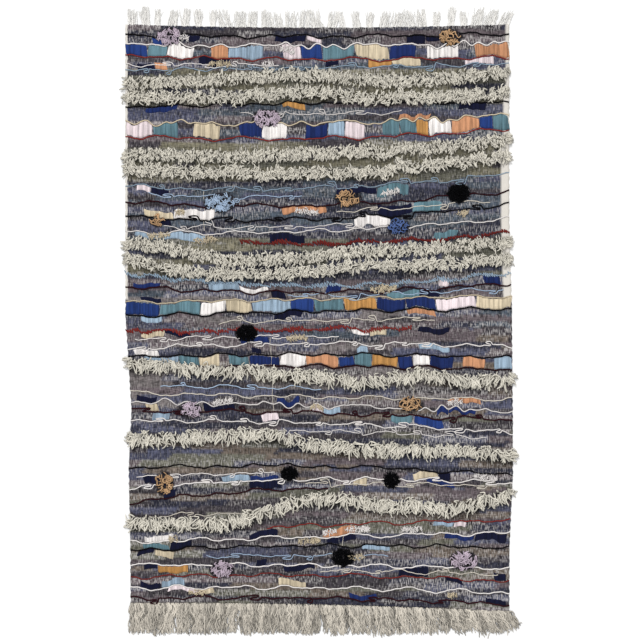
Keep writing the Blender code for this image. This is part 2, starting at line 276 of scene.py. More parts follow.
class Shader(Graph):
    """A material's node tree, with the shader that it ends in."""

    SHEEN_ROUGHNESS = 0.6
    SPECULAR = 0.08
    BUMP_STRENGTH = 0.8

    def __init__(self, name: str, roughness: float, sheen: float) -> None:
        """Makes the material, with what is the same all over it set on the shader."""
        self.material = bpy.data.materials.new(name)
        self.material.use_nodes = True
        super().__init__(self.material.node_tree)
        self.surface = self.tree.nodes["Principled BSDF"]
        self.surface.inputs["Roughness"].default_value = roughness
        self.surface.inputs["Sheen Weight"].default_value = sheen
        self.surface.inputs["Sheen Roughness"].default_value = self.SHEEN_ROUGHNESS
        self.surface.inputs["Specular IOR Level"].default_value = self.SPECULAR

    def attribute(self, name: str, out: str = "Fac") -> Socket:
        """Reads a named attribute of the mesh."""
        return self.get("ShaderNodeAttribute", {"attribute_name": name}, out=out)

    def place(self) -> Socket:
        """The Object coordinates."""
        return self.get("ShaderNodeTexCoord", out="Object")

    def noise(self, where: Socket, size: float | tuple[float, float], detail: float = 2.0) -> Socket:
        """Noise with features of a size, or of a width and a length along Y.

        Args:
            where: the coordinates, in metres.
            size: the features' size in metres.
            detail: how many finer octaves are added.

        Returns:
            The noise, round 0.5.
        """
        width, length = size if isinstance(size, tuple) else (size, size)
        scale = (1 / width, 1 / length, 1 / width)
        scaled = self.get("ShaderNodeMapping", sockets={"Vector": where, "Scale": scale})
        return self.get("ShaderNodeTexNoise", sockets={"Vector": scaled, "Scale": 1.0, "Detail": detail})

    def ramp(self, value: Socket, *stops: tuple[float, float]) -> Socket:
        """Reads a grey ramp, as a number."""
        colour = self.get("ShaderNodeValToRGB", {"stops": stops}, {"Fac": value})
        return self.get("ShaderNodeRGBToBW", sockets={"Color": colour})

    def ridges(self, value: Socket, pitch: float) -> Socket:
        """Rounded ridges from 0 to 1, one each pitch."""
        return self.math("ABSOLUTE", self.math("SINE", value * (math.pi / pitch)))

    def mix(self, factor: Number, first: Socket | Colour, second: Socket | Colour) -> Socket:
        """Mixes two colours."""
        plain = {MIX_A: first, MIX_B: second}
        sockets = {key: v if isinstance(v, Socket) else (*v, 1) for key, v in plain.items()}
        settings = {"data_type": "RGBA", "blend_type": "MIX", "clamp_factor": True}
        return self.get("ShaderNodeMix", settings, {MIX_FACTOR: factor, **sockets}, MIX_RESULT)

    def finish(self, colour: Socket, height: Socket, relief: float) -> bpy.types.Material:
        """Connects the colour and a bump to the surface.

        Args:
            colour: the base colour.
            height: the bump's height, from 0 to 1.
            relief: how high the bump is, in metres.

        Returns:
            The finished material.
        """
        sockets = {"Strength": self.BUMP_STRENGTH, "Distance": relief, "Height": height}
        bump = self.get("ShaderNodeBump", sockets=sockets, out="Normal")
        self.tree.links.new(colour.out, self.surface.inputs["Base Color"])
        self.tree.links.new(bump.out, self.surface.inputs["Normal"])
        return self.material


@dataclass(frozen=True)
class WoolYarn:
    """Matt wool yarn that stands free of the weave: each strand has its tone, painted shade at its root and a
    twist.

    Dark and light are the two ends of its colour, as shares of the dye. Shaded says how much painted shade
    darkens its root, and below 0 it paints the root lighter instead. The field after it says how much painted
    shade darkens its sides, which turn down away from the light. Its other sizes are in metres.
    """

    dye: Dye
    dark: float = 0.50
    light: float = 1.10
    # How much painted shade falls on the root and on the sides, by default.
    shaded: float = 0.35
    side_shade: float = 0.30
    ply: float = 0.0042
    mottle: float = 0.012
    fuzz: float = 0.0011
    relief: float = 0.0009

    def build(self) -> bpy.types.Material:
        """Builds it from the strands' tone and twist, with painted shade at the roots and on down-turned
        sides.
        """
        base = linear(self.dye.value)
        shader = Shader(f"yarn_{self.dye.name.lower()}", roughness=0.92, sheen=0.08 * max(base))
        place = shader.place()
        # A pile's tone is partly painted shade, darker for its lower yarns.
        tone = shader.attribute("tone")
        fibres = shader.noise(place, self.fuzz, detail=3)
        mottle = shader.noise(place, self.mottle)
        turn_cos, turn_sin, along = shader.split(shader.attribute("twist", "Vector"))
        angle = along * (2 * math.pi / self.ply)
        strands = shader.math("SINE", angle) * turn_cos + shader.math("COSINE", angle) * turn_sin
        # Painted shade at the root, over the first few millimetres of each yarn.
        root = shader.ramp(along * 100, (0.1, 1.0), (0.9, 0.0))
        # Painted shade on the sides, which turn down away from the light above.
        _, _, up = shader.split(shader.get("ShaderNodeNewGeometry", out="Normal"))
        sides = shader.ramp(up, (0.05, 1.0), (0.85, 0.0))
        level = tone * 0.65 + mottle * 0.30 + fibres * 0.35 + strands * 0.14 + 0.02
        level = level - root * self.shaded - sides * self.side_shade
        colour = shader.mix(level, shade(base, self.dark), shade(base, self.light))
        return shader.finish(colour, strands * 0.35 + fibres * 0.6, self.relief)


@dataclass(frozen=True)
class WeftBlock:
    """Weft-faced wool of a coloured block: upright cords of beaten weft in fuller and thinner stripes.

    Contrast is how far its colour goes down from the dye, and half as far up. Its sizes are in metres, across
    and then along where there are two.
    """

    dye: Dye
    contrast: float = 0.50
    cord_pitch: float = 0.0042
    pick_pitch: float = 0.0024
    stripe: tuple[float, float] = (0.0085, 0.30)
    streak: tuple[float, float] = (0.0045, 0.035)
    pick: tuple[float, float] = (0.020, 0.0026)
    fibre: float = 0.0012
    relief: float = 0.0012

    def build(self) -> bpy.types.Material:
        """Builds the material on Object coordinates."""
        shader = Shader(f"weft_{self.dye.name.lower()}", roughness=0.94, sheen=0.06)
        place = shader.place()
        x, y, _ = shader.split(place)
        stripes = shader.noise(place, self.stripe)
        streaks = shader.noise(place, self.streak)
        picks = shader.noise(place, self.pick, detail=1)
        fibres = shader.noise(place, self.fibre, detail=3)
        cords = shader.ridges(x, self.cord_pitch)
        weft = shader.ridges(y, self.pick_pitch)
        level = (
            shader.ramp(stripes, (0.40, 0.0), (0.60, 1.0)) * 0.56
            + shader.ramp(streaks, (0.36, 0.0), (0.64, 1.0)) * 0.25
            + picks * 0.20
            + fibres * 0.25
            + shader.attribute("tone") * 0.30
            - 0.24
        )
        base = linear(self.dye.value)
        colour = shader.mix(level, shade(base, 1 - self.contrast), shade(base, 1 + self.contrast * 0.5))
        height = cords * 0.45 + weft * 0.2 + fibres * 0.35 + stripes * 0.5
        return shader.finish(colour, height, self.relief)


@dataclass(frozen=True)
class GroundWeave:
    """The plain-woven ground: upright cords of mottled weft in each patch's colour, with pale flecks of warp.

    A patch's colour and its flecks carry the painted shade below the shag and under the tufts. Dark and light
    are the two ends of a patch's colour, as shares of the colour read from the cloth. The sizes are in metres,
    across and then along where there are two.
    """

    fleck: Colour = linear((186, 182, 180))
    bare: Colour = linear((214, 209, 201))
    bare_dark: float = 0.86
    dark: float = 0.27
    light: float = 1.72
    cord_pitch: float = 0.0042
    streak_size: tuple[float, float] = (0.0058, 0.036)
    pick_size: tuple[float, float] = (0.022, 0.0044)
    fleck_size: tuple[float, float] = (0.0046, 0.0200)
    cloud_size: tuple[float, float] = (0.055, 0.020)
    fibre_size: float = 0.0014
    relief: float = 0.0013

    def build(self) -> bpy.types.Material:
        """Builds the material on the cloth's UV map, which is in metres, and on its patch attributes."""
        shader = Shader("ground_weave", roughness=0.95, sheen=0.06)
        place = shader.get("ShaderNodeUVMap", {"uv_map": "weave"})
        across, _, _ = shader.split(place)
        # Both attributes carry painted shade: darker below the shag and under the tufts, with fewer pale
        # flecks.
        tint = shader.attribute("tint", "Vector")
        worn = shader.attribute("worn")
        streaks = shader.noise(place, self.streak_size, detail=3)
        picks = shader.noise(place, self.pick_size)
        flecks = shader.noise(place, self.fleck_size)
        fibres = shader.noise(place, self.fibre_size, detail=3)
        clouds = shader.noise(place, self.cloud_size)
        cords = shader.ridges(across, self.cord_pitch)
        level = (
            shader.ramp(streaks, (0.36, 0.0), (0.64, 1.0)) * 0.58
            + shader.ramp(picks, (0.38, 0.0), (0.62, 1.0)) * 0.32
            + shader.ramp(clouds, (0.34, 0.0), (0.66, 1.0)) * 0.22
            + fibres * 0.30
            - 0.26
        )
        body = shader.mix(level, tint * self.dark, tint * self.light)
        pale = shader.ramp(flecks + picks * 0.26 + worn * 0.10 - 0.13, (0.54, 0.0), (0.70, 1.0))
        body = shader.mix(pale * (worn * 0.50 + 0.20), body, self.fleck)
        bare = shader.mix(fibres, shade(self.bare, self.bare_dark), self.bare)
        colour = shader.mix(shader.attribute("bare"), body, bare)
        height = cords * 0.45 + streaks * 0.5 + fibres * 0.4 + picks * 0.2
        return shader.finish(colour, height, self.relief)


@dataclass(frozen=True)
class PlainFloor:
    """A smooth pale studio floor, with clouds a little lighter than its tone."""

    tone: float = 0.86
    lighter: float = 1.02
    cloud_size: float = 0.8
    relief: float = 0.0001

    def build(self) -> bpy.types.Material:
        """Builds the material, with a trace of mottling."""
        shader = Shader("studio_floor", roughness=0.9, sheen=0.0)
        cloud = shader.noise(shader.place(), self.cloud_size)
        grey = (self.tone,) * 3
        return shader.finish(shader.mix(cloud, grey, shade(grey, self.lighter)), cloud, self.relief)


class Finishes:
    """Builds each finish once."""

    def __init__(self) -> None:
        """Starts with none."""
        self.made: dict[object, bpy.types.Material] = {}

    def of(self, finish: WoolYarn | WeftBlock | GroundWeave | PlainFloor) -> bpy.types.Material:
        """Returns the finish's material."""
        if finish not in self.made:
            self.made[finish] = finish.build()
        return self.made[finish]


class NodeGroup(Graph):
    """A geometry node tree with named inputs, run as a modifier and then made a plain mesh."""

    KINDS = {float: "NodeSocketFloat", int: "NodeSocketInt"}

    # The attributes that only the growing needs, which the plain mesh loses.
    SPENT = ("root", "heading", "reach", "lift", "land", "curl", "loop", "girth", "turn", "along")

    def __init__(self, name: str, inputs: dict[str, float | int]) -> None:
        """Makes the tree and its inputs.

        Args:
            name: the tree's name.
            inputs: each input's name and default value.
        """
        super().__init__(bpy.data.node_groups.new(name, "GeometryNodeTree"))
        face = self.tree.interface
        face.new_socket("Geometry", in_out="INPUT", socket_type="NodeSocketGeometry")
        for label, value in inputs.items():
            kind = self.KINDS[type(value)]
            face.new_socket(label, in_out="INPUT", socket_type=kind).default_value = value
        face.new_socket("Material", in_out="INPUT", socket_type="NodeSocketMaterial")
        face.new_socket("Geometry", in_out="OUTPUT", socket_type="NodeSocketGeometry")
        self.source = self.add("NodeGroupInput")

    def given(self, label: str) -> Socket:
        """Returns one of the tree's inputs."""
        return Socket(self, self.source.outputs[label])

    def named(self, label: str, kind: str = "FLOAT") -> Socket:
        """Reads a named attribute."""
        return self.get("GeometryNodeInputNamedAttribute", {"data_type": kind}, {"Name": label})

    def keep(self, shape: Socket, label: str, value: Socket, kind: str = "FLOAT") -> Socket:
        """Stores a value as a named attribute of a shape's points."""
        settings = {"data_type": kind, "domain": "POINT"}
        sockets = {"Geometry": shape, "Name": label, "Value": value}
        return self.get("GeometryNodeStoreNamedAttribute", settings, sockets)

    def sweep(self, curve: Socket, girth: Socket) -> None:
        """Ends the tree: sweeps a round yarn along a curve and gives it its material.

        Args:
            curve: the yarn's middle line.
            girth: the yarn's radius along it.
        """
        length = self.get("GeometryNodeSplineParameter", out="Length")
        curve = self.keep(curve, "along", length)
        sockets = {"Resolution": self.given("Sides"), "Radius": 1.0}
        ring = self.get("GeometryNodeCurvePrimitiveCircle", sockets=sockets)
        turn = self.get("GeometryNodeSplineParameter", out="Factor") * (2 * math.pi)
        ring = self.keep(ring, "turn", turn)
        sockets = {"Curve": curve, "Profile Curve": ring, "Scale": girth, "Fill Caps": True}
        tube = self.get("GeometryNodeCurveToMesh", sockets=sockets)
        turn = self.named("turn")
        twist = self.join(self.math("COSINE", turn), self.math("SINE", turn), self.named("along"))
        tube = self.keep(tube, "twist", twist, "FLOAT_VECTOR")
        tube = self.get("GeometryNodeSetShadeSmooth", sockets={"Geometry": tube})
        tube = self.get("GeometryNodeRealizeInstances", sockets={"Geometry": tube})
        sockets = {"Geometry": tube, "Material": self.given("Material")}
        tube = self.get("GeometryNodeSetMaterial", sockets=sockets)
        self.add("NodeGroupOutput", sockets={"Geometry": tube})

    def run(
        self, name: str, source: bpy.types.Mesh, material: bpy.types.Material, **values: float
    ) -> bpy.types.Object:
        """Runs the tree on a mesh and returns the result as an object with a plain mesh.

        Args:
            name: the new object's name.
            source: the mesh of guides or roots.
            material: the yarn's material.
            values: the tree's inputs, with underscores for spaces.

        Returns:
            The object, at the origin.
        """
        guide = bpy.data.objects.new(name + "_guide", source)
        bpy.context.scene.collection.objects.link(guide)
        modifier = guide.modifiers.new("grow", "NODES")
        modifier.node_group = self.tree
        items = self.tree.interface.items_tree
        sockets = {item.name: item.identifier for item in items if item.in_out == "INPUT"}
        for label, value in values.items():
            modifier[sockets[label.replace("_", " ")]] = value
        modifier[sockets["Material"]] = material
        graph = bpy.context.evaluated_depsgraph_get()
        mesh = bpy.data.meshes.new_from_object(guide.evaluated_get(graph), depsgraph=graph)
        bpy.data.objects.remove(guide)
        for label in self.SPENT:
            kept = mesh.attributes.get(label)
            if kept:
                mesh.attributes.remove(kept)
        obj = bpy.data.objects.new(name, mesh)
        bpy.context.scene.collection.objects.link(obj)
        return obj


class OutlineTree(NodeGroup):
    """Sweeps a wandering yarn along each guide line."""

    def __init__(self) -> None:
        """Builds the tree."""
        inputs = {"Radius": 0.002, "Spacing": 0.0050, "Sides": 4, "Wander": 0.0008, "Seed": 0}
        super().__init__("outline_yarn", inputs)
        curve = self.get("GeometryNodeMeshToCurve", sockets={"Mesh": self.given("Geometry")})
        curve = self.get("GeometryNodeCurveSplineType", {"spline_type": "CATMULL_ROM"}, {"Curve": curve})
        sockets = {"Curve": curve, "Length": self.given("Spacing")}
        curve = self.get("GeometryNodeResampleCurve", {"mode": "LENGTH"}, sockets)
        place = self.get("GeometryNodeInputPosition")
        sockets = {"Vector": place, "W": self.given("Seed") * 3.7, "Scale": 70.0, "Detail": 1.0}
        shake = self.get("ShaderNodeTexNoise", {"noise_dimensions": "4D"}, sockets, "Color")
        shift = self.vector("SUBTRACT", shake, (0.5, 0.5, 0.5)) * self.given("Wander")
        curve = self.get("GeometryNodeSetPosition", sockets={"Geometry": curve, "Offset": shift * 2.0})
        thick = self.get("ShaderNodeTexNoise", sockets={"Vector": place, "Scale": 45.0, "Detail": 1.0})
        self.sweep(curve, self.given("Radius") * (thick * 0.6 + 0.7))


class PileTree(NodeGroup):
    """Grows a yarn from each root, open or as a loop, by the root's own heading, reach, lift and curl."""

    def __init__(self) -> None:
        """Builds the tree."""
        inputs = {"Radius": 0.002, "Points": 8, "Sides": 4, "Waves": 1.0}
        super().__init__("pile_yarn", inputs | {"Kink": 0.003, "Kink Size": 0.02, "Taper": 0.3})
        line = self.get("GeometryNodeCurvePrimitiveLine")
        sockets = {"Curve": line, "Count": self.given("Points")}
        line = self.get("GeometryNodeResampleCurve", {"mode": "COUNT"}, sockets)
        sockets = {"Points": self.given("Geometry"), "Instance": line}
        made = self.get("GeometryNodeInstanceOnPoints", sockets=sockets)
        made = self.get("GeometryNodeRealizeInstances", sockets={"Geometry": made})
        t = self.get("GeometryNodeSplineParameter", out="Factor")
        arch = self.math("SINE", t * math.pi)
        loop = self.named("loop")
        out = t + (arch - t) * loop
        sway = self.math("SINE", t * self.given("Waves") * math.pi)
        aside = sway + (t * 2.0 - 1.0 - sway) * loop
        heading = self.named("heading")
        forth_x, forth_y = self.math("COSINE", heading), self.math("SINE", heading)
        far, wide = out * self.named("reach"), aside * self.named("curl")
        root = self.named("root", "FLOAT_VECTOR")
        root_x, root_y, root_z = self.split(root)
        rest = self.named("land")
        x = root_x + forth_x * far - forth_y * wide
        y = root_y + forth_y * far + forth_x * wide
        z = root_z + (rest - root_z) * t + arch * self.named("lift")
        flat = self.join(x, y, z + self.named("tone") * 3.0)
        where = self.vector("DIVIDE", flat, self.join(*[self.given("Kink Size")] * 3))
        shake = self.get("ShaderNodeTexNoise", sockets={"Vector": where, "Scale": 1.0}, out="Color")
        kink = self.vector("SUBTRACT", shake, (0.5, 0.5, 0.5)) * (self.given("Kink") * arch * 2.0)
        kink_x, kink_y, kink_z = self.split(kink)
        lowest = self.math("MINIMUM", rest, root_z)
        z = self.math("MAXIMUM", z + kink_z, lowest)
        sockets = {"Geometry": made, "Position": self.join(x + kink_x, y + kink_y, z)}
        made = self.get("GeometryNodeSetPosition", sockets=sockets)
        thinning = self.given("Taper") * t * t * (1.0 - loop)
        self.sweep(made, self.given("Radius") * self.named("girth") * (1.0 - thinning))


@dataclass(frozen=True)
class Bow:
    """Drops at the left selvage, the middle and the right selvage."""

    left: float
    middle: float
    right: float

    def at(self, share: np.ndarray | float) -> np.ndarray | float:
        """Returns the drop on the smooth line through the three."""
        t = 2 * np.asarray(share) - 1
        slope, sag = (self.right - self.left) / 2, (self.left + self.right) / 2 - self.middle
        return self.middle + slope * t + sag * t * t


class RugPlan:
    """The cloth's plan, read from its solid, and the way from a share and a drop to a place."""

    # How far a side edge wanders inwards, and how far out from the middle line the two ends are read.
    SIDE_STRIP = 0.035
    END_REACH = 0.70

    def __init__(self, cloth: bpy.types.Object) -> None:
        """Reads the outline.

        Args:
            cloth: the cloth's solid.
        """
        low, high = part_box(cloth.name)
        points = np.array([vert.co for vert in cloth.data.vertices])
        ring = points[points[:, 2] < 1e-5]
        self.top = high.y
        self.thick = float(np.median(points[points[:, 2] > 1e-3][:, 2]))
        self._left = self._side(ring[ring[:, 0] < low.x + self.SIDE_STRIP])
        self._right = self._side(ring[ring[:, 0] > high.x - self.SIDE_STRIP])
        inner = ring[np.abs(ring[:, 0]) < self.END_REACH]
        self._upper = self._end(inner[inner[:, 1] > 0])
        self._hem = self._end(inner[inner[:, 1] < 0])

    def _side(self, points: np.ndarray) -> tuple[np.ndarray, np.ndarray]:
        """Returns one side edge as its drops and its places across."""
        points = points[np.argsort(-points[:, 1])]
        return self.top - points[:, 1], points[:, 0]

    def _end(self, points: np.ndarray) -> Bow:
        """Returns one end of the cloth as a bow."""
        share = self.share_of(points[:, 0], self.top - points[:, 1])
        curve = np.polyfit(share, self.top - points[:, 1], 2)
        return Bow(*(float(np.polyval(curve, s)) for s in (0.0, 0.5, 1.0)))

    def sides(self, drop: np.ndarray | float) -> tuple[np.ndarray, np.ndarray]:
        """Returns the left and right selvage at a drop."""
        return np.interp(drop, *self._left), np.interp(drop, *self._right)

    def share_of(self, x: np.ndarray, drop: np.ndarray) -> np.ndarray:
        """Returns the share across of a place."""
        left, right = self.sides(drop)
        return (x - left) / (right - left)

    def upper(self, share: np.ndarray | float) -> np.ndarray | float:
        """Returns the drop of the cloth's upper end."""
        return self._upper.at(share)

    def hem(self, share: np.ndarray | float) -> np.ndarray | float:
        """Returns the drop of the cloth's lower end."""
        return self._hem.at(share)

    def place(self, share: np.ndarray, drop: np.ndarray) -> tuple[np.ndarray, np.ndarray]:
        """Returns X and Y of a share and a drop."""
        left, right = self.sides(drop)
        return left + (right - left) * share, self.top - drop


@dataclass(frozen=True)
class Course:
    """A woven course across the rug: the outlining yarn that marks it, and the wave that it follows."""

    bow: Bow
    dye: Dye
    lie: Lie
    wave: float
    pitch: float
    phase: float
    radius: float = 0.0025
    start: float = 0.0
    end: float = 1.0

    # How high the hand's unevenness is, long and short, and how high and how long a zigzag's teeth are.
    RIPPLE = 0.0055
    TREMBLE = (0.0015, 0.0009)
    TOOTH = 0.0085
    TOOTH_PITCH = 0.078

    def drop(self, share: np.ndarray | float) -> np.ndarray | float:
        """Returns the drop of the course, with its waves."""
        across = (2 * np.asarray(share) - 1) * HALF_WIDTH
        phase = self.phase
        drop = self.bow.at(share) + self.wave * np.sin(2 * math.pi * across / self.pitch + phase)
        drop = drop + self.RIPPLE * np.sin(across * 37 + 2.3 * phase + 1.5 * np.sin(across * 5 + phase))
        if self.lie is Lie.ZIGZAG:
            turns = across / self.TOOTH_PITCH + phase + 0.5 * np.sin(across * 7 + phase)
            saw = np.clip(np.abs(turns % 1.0 - 0.5) * 6 - 1.5, -1, 1)
            drop = drop + self.TOOTH * saw * (0.55 + 0.45 * np.sin(across * 11 + phase))
        drop = drop + self.TREMBLE[0] * np.sin(across * 83 + 3 * phase)
        return drop + self.TREMBLE[1] * np.sin(across * 167 + phase)


@dataclass(frozen=True)
class Band:
    """A lane that coloured blocks fill from side to side, under a course, with the chance of an opening."""

    above: int
    shortest: float
    longest: float
    opens: float = 0.0


# Each bow, dye and lie, and then the wave, its pitch, its phase and the yarn's radius.
COURSES = (
    Course(Bow(0.046, 0.050, 0.041), Dye.BLACK, Lie.WAVY, 0.004, 0.38, 0.3, 0.0030),
    Course(Bow(0.084, 0.088, 0.080), Dye.WHITE, Lie.ZIGZAG, 0.004, 0.45, 1.1),
    Course(Bow(0.133, 0.146, 0.137), Dye.RUST, Lie.WAVY, 0.004, 0.29, 1.9, 0.0023),
    Course(Bow(0.190, 0.180, 0.165), Dye.PALE_BLUE, Lie.HOOKED, 0.003, 0.21, 2.7, 0.0021),
    Course(Bow(0.345, 0.327, 0.326), Dye.BLACK, Lie.WAVY, 0.004, 0.27, 0.9, 0.0030),
    Course(Bow(0.404, 0.410, 0.376), Dye.CREAM, Lie.ZIGZAG, 0.006, 0.31, 3.1),
    Course(Bow(0.466, 0.474, 0.436), Dye.RUST, Lie.WAVY, 0.005, 0.33, 4.1, 0.0026),
    Course(Bow(0.672, 0.680, 0.620), Dye.PALE_BLUE, Lie.HOOKED, 0.005, 0.36, 5.0, 0.0022),
    Course(Bow(0.738, 0.750, 0.692), Dye.MAROON, Lie.WAVY, 0.005, 0.41, 2.6, 0.0031),
    Course(Bow(0.800, 0.808, 0.750), Dye.BLACK, Lie.HOOKED, 0.005, 0.30, 0.6, 0.0030),
    Course(Bow(0.862, 0.858, 0.806), Dye.WHITE, Lie.WAVY, 0.004, 0.27, 5.2, 0.0025),
    Course(Bow(0.884, 0.910, 0.866), Dye.RUST, Lie.SCRIBBLED, 0.003, 0.50, 1.3, 0.0025, start=0.30),
    Course(Bow(1.034, 1.086, 1.030), Dye.PALE_BLUE, Lie.SCRIBBLED, 0.003, 0.22, 4.4, 0.0017),
    Course(Bow(1.090, 1.112, 1.074), Dye.MAROON, Lie.WAVY, 0.005, 0.26, 2.0, 0.0030),
    Course(Bow(1.156, 1.141, 1.129), Dye.CREAM, Lie.WAVY, 0.002, 0.34, 0.2, 0.0022),
    Course(Bow(1.213, 1.192, 1.182), Dye.BLACK, Lie.WAVY, 0.004, 0.25, 0.8, 0.0031),
    Course(Bow(1.278, 1.266, 1.256), Dye.RUST, Lie.SCRIBBLED, 0.004, 0.37, 3.8, 0.0025, end=0.74),
    Course(Bow(1.347, 1.326, 1.339), Dye.WHITE, Lie.HOOKED, 0.005, 0.31, 3.3),
    Course(Bow(1.382, 1.371, 1.385), Dye.BLACK, Lie.WAVY, 0.003, 0.29, 1.0, 0.0025),
    Course(Bow(1.430, 1.420, 1.436), Dye.MAROON, Lie.WAVY, 0.004, 0.24, 5.5, 0.0030),
    Course(Bow(1.530, 1.548, 1.556), Dye.GREIGE, Lie.WAVY, 0.004, 0.33, 0.7, 0.0021),
    Course(Bow(1.568, 1.584, 1.606), Dye.WHITE, Lie.ZIGZAG, 0.004, 0.40, 2.3),
    Course(Bow(1.605, 1.615, 1.645), Dye.MAROON, Lie.HOOKED, 0.005, 0.36, 5.9, 0.0032),
    Course(Bow(1.648, 1.656, 1.696), Dye.WHITE, Lie.HOOKED, 0.004, 0.28, 1.7, 0.0023),
    Course(Bow(1.845, 1.835, 1.875), Dye.BLACK, Lie.WAVY, 0.004, 0.44, 1.2, 0.0026),
    Course(Bow(1.925, 1.890, 1.905), Dye.WHITE, Lie.HOOKED, 0.005, 0.23, 4.9, 0.0024),
    Course(Bow(1.985, 1.925, 1.935), Dye.MAROON, Lie.WAVY, 0.004, 0.35, 3.0, 0.0032, end=0.52),
    Course(Bow(2.120, 2.080, 2.060), Dye.RUST, Lie.WAVY, 0.005, 0.29, 0.1, 0.0025, start=0.36),
    Course(Bow(2.150, 2.128, 2.112), Dye.WHITE, Lie.WAVY, 0.005, 0.32, 2.2, 0.0024),
    Course(Bow(2.185, 2.165, 2.175), Dye.BLACK, Lie.WAVY, 0.004, 0.26, 4.6, 0.0030),
    Course(Bow(2.245, 2.247, 2.259), Dye.WHITE, Lie.WAVY, 0.004, 0.30, 0.1, 0.0023),
    Course(Bow(2.296, 2.288, 2.313), Dye.RUST, Lie.WAVY, 0.004, 0.35, 2.2, 0.0024),
    Course(Bow(2.342, 2.340, 2.362), Dye.WHITE, Lie.WAVY, 0.005, 0.24, 1.5, 0.0024),
    Course(Bow(2.385, 2.383, 2.408), Dye.MAROON, Lie.HOOKED, 0.004, 0.28, 3.9, 0.0032),
)

# Thin yarns that wander over the lanes, part of the way across, in the same columns.
STRAYS = (
    Course(Bow(0.168, 0.170, 0.158), Dye.WHITE, Lie.HOOKED, 0.004, 0.29, 4.2, end=0.40),
    Course(Bow(0.368, 0.372, 0.344), Dye.WHITE, Lie.HOOKED, 0.005, 0.24, 1.4, start=0.30, end=0.72),
    Course(Bow(0.704, 0.712, 0.655), Dye.SKY, Lie.HOOKED, 0.006, 0.27, 2.9, start=0.06, end=0.46),
    Course(Bow(0.772, 0.780, 0.722), Dye.GREIGE, Lie.HOOKED, 0.005, 0.33, 0.4, start=0.55, end=0.95),
    Course(Bow(0.834, 0.838, 0.782), Dye.WHITE, Lie.HOOKED, 0.006, 0.25, 3.6, start=0.10, end=0.62),
    Course(Bow(1.118, 1.126, 1.096), Dye.SKY, Lie.HOOKED, 0.004, 0.31, 5.1, start=0.42, end=0.98),
    Course(Bow(1.244, 1.230, 1.216), Dye.GREIGE, Lie.HOOKED, 0.004, 0.22, 1.9, start=0.24, end=0.80),
    Course(Bow(1.308, 1.296, 1.296), Dye.WHITE, Lie.HOOKED, 0.004, 0.30, 2.4, start=0.02, end=0.55),
    Course(Bow(1.500, 1.512, 1.526), Dye.SKY, Lie.HOOKED, 0.004, 0.28, 0.9, start=0.08, end=0.50),
    Course(Bow(1.686, 1.690, 1.724), Dye.WHITE, Lie.HOOKED, 0.004, 0.26, 3.9, start=0.30, end=0.93),
    Course(Bow(1.885, 1.862, 1.890), Dye.WHITE, Lie.HOOKED, 0.005, 0.21, 0.2, start=0.02, end=0.38),
    Course(Bow(1.950, 1.912, 1.920), Dye.GREIGE, Lie.HOOKED, 0.005, 0.25, 5.7, start=0.46, end=0.96),
    Course(Bow(2.042, 2.022, 2.002), Dye.GREIGE, Lie.HOOKED, 0.004, 0.23, 1.1, start=0.05, end=0.44),
    Course(Bow(2.214, 2.206, 2.216), Dye.SKY, Lie.HOOKED, 0.004, 0.27, 4.4, start=0.20, end=0.68),
    Course(Bow(2.270, 2.268, 2.286), Dye.GREIGE, Lie.HOOKED, 0.004, 0.24, 2.7, start=0.50, end=0.97),
)


class Slub(NamedTuple):
    """A thin pale yarn that rides up the face along the warp."""

    share: float
    top: float
    bottom: float


SLUBS = (
    Slub(0.372, 1.300, 1.640),
    Slub(0.742, 1.440, 1.740),
    Slub(0.205, 0.690, 0.860),
    Slub(0.560, 2.120, 2.290),
)

BANDS = (
    Band(above=1, shortest=0.060, longest=0.150, opens=0.22),
    Band(above=5, shortest=0.050, longest=0.120, opens=0.26),
    Band(above=14, shortest=0.090, longest=0.170),
    Band(above=18, shortest=0.060, longest=0.150, opens=0.12),
)


def smooth_step(value: np.ndarray) -> np.ndarray:
    """Returns a ramp from 0 to 1 with level ends."""
    value = np.clip(value, 0.0, 1.0)
    return value * value * (3 - 2 * value)


def mesh_of(
    name: str,
    points: Sequence[Sequence[float]],
    faces: Sequence[Sequence[int]] = (),
    edges: Sequence[tuple[int, int]] = (),
    **attributes: Sequence[float],
) -> bpy.types.Mesh:
    """Makes a mesh.

    Args:
        name: the mesh's name.
        points: its vertices.
        faces: the corners of each face.
        edges: the ends of each edge, in a mesh of lines.
        attributes: numbers to keep on its vertices.

    Returns:
        The mesh.
    """
    mesh = bpy.data.meshes.new(name)
    mesh.from_pydata([tuple(point) for point in points], edges, faces)
    for label, values in attributes.items():
        values = np.asarray(values, np.float32)
        kind = "FLOAT_VECTOR" if values.ndim == 2 else "FLOAT"
        key = "vector" if values.ndim == 2 else "value"
        mesh.attributes.new(label, kind, "POINT").data.foreach_set(key, values.ravel())
    mesh.update()
    return mesh


def add_object(name: str, mesh: bpy.types.Mesh, material: bpy.types.Material) -> bpy.types.Object:
    """Puts a mesh in the scene with its material, at the origin."""
    mesh.materials.append(material)
    obj = bpy.data.objects.new(name, mesh)
    bpy.context.scene.collection.objects.link(obj)
    return obj


def crown_line(node: bpy.types.Object, foot: float, stations: int = 30) -> tuple[np.ndarray, np.ndarray]:
    """Reads the middle line of a shag row's solid.

    Args:
        node: the solid.
        foot: the height that it stands on.
        stations: how many places across bound the stretches that are read.

    Returns:
        X and Y along the line, from left to right.
    """
    points = np.array([vert.co for vert in node.data.vertices])
    crown = points[points[:, 2] > (foot + points[:, 2].max()) / 2]
    bins = np.linspace(crown[:, 0].min(), crown[:, 0].max(), stations)
    middles, places = [], []
    for start, end in zip(bins, bins[1:]):
        here = crown[(crown[:, 0] >= start) & (crown[:, 0] <= end)]
        if len(here):
            middles.append((start + end) / 2)
            places.append((here[:, 1].min() + here[:, 1].max()) / 2)
    return np.array(middles), np.array(places)


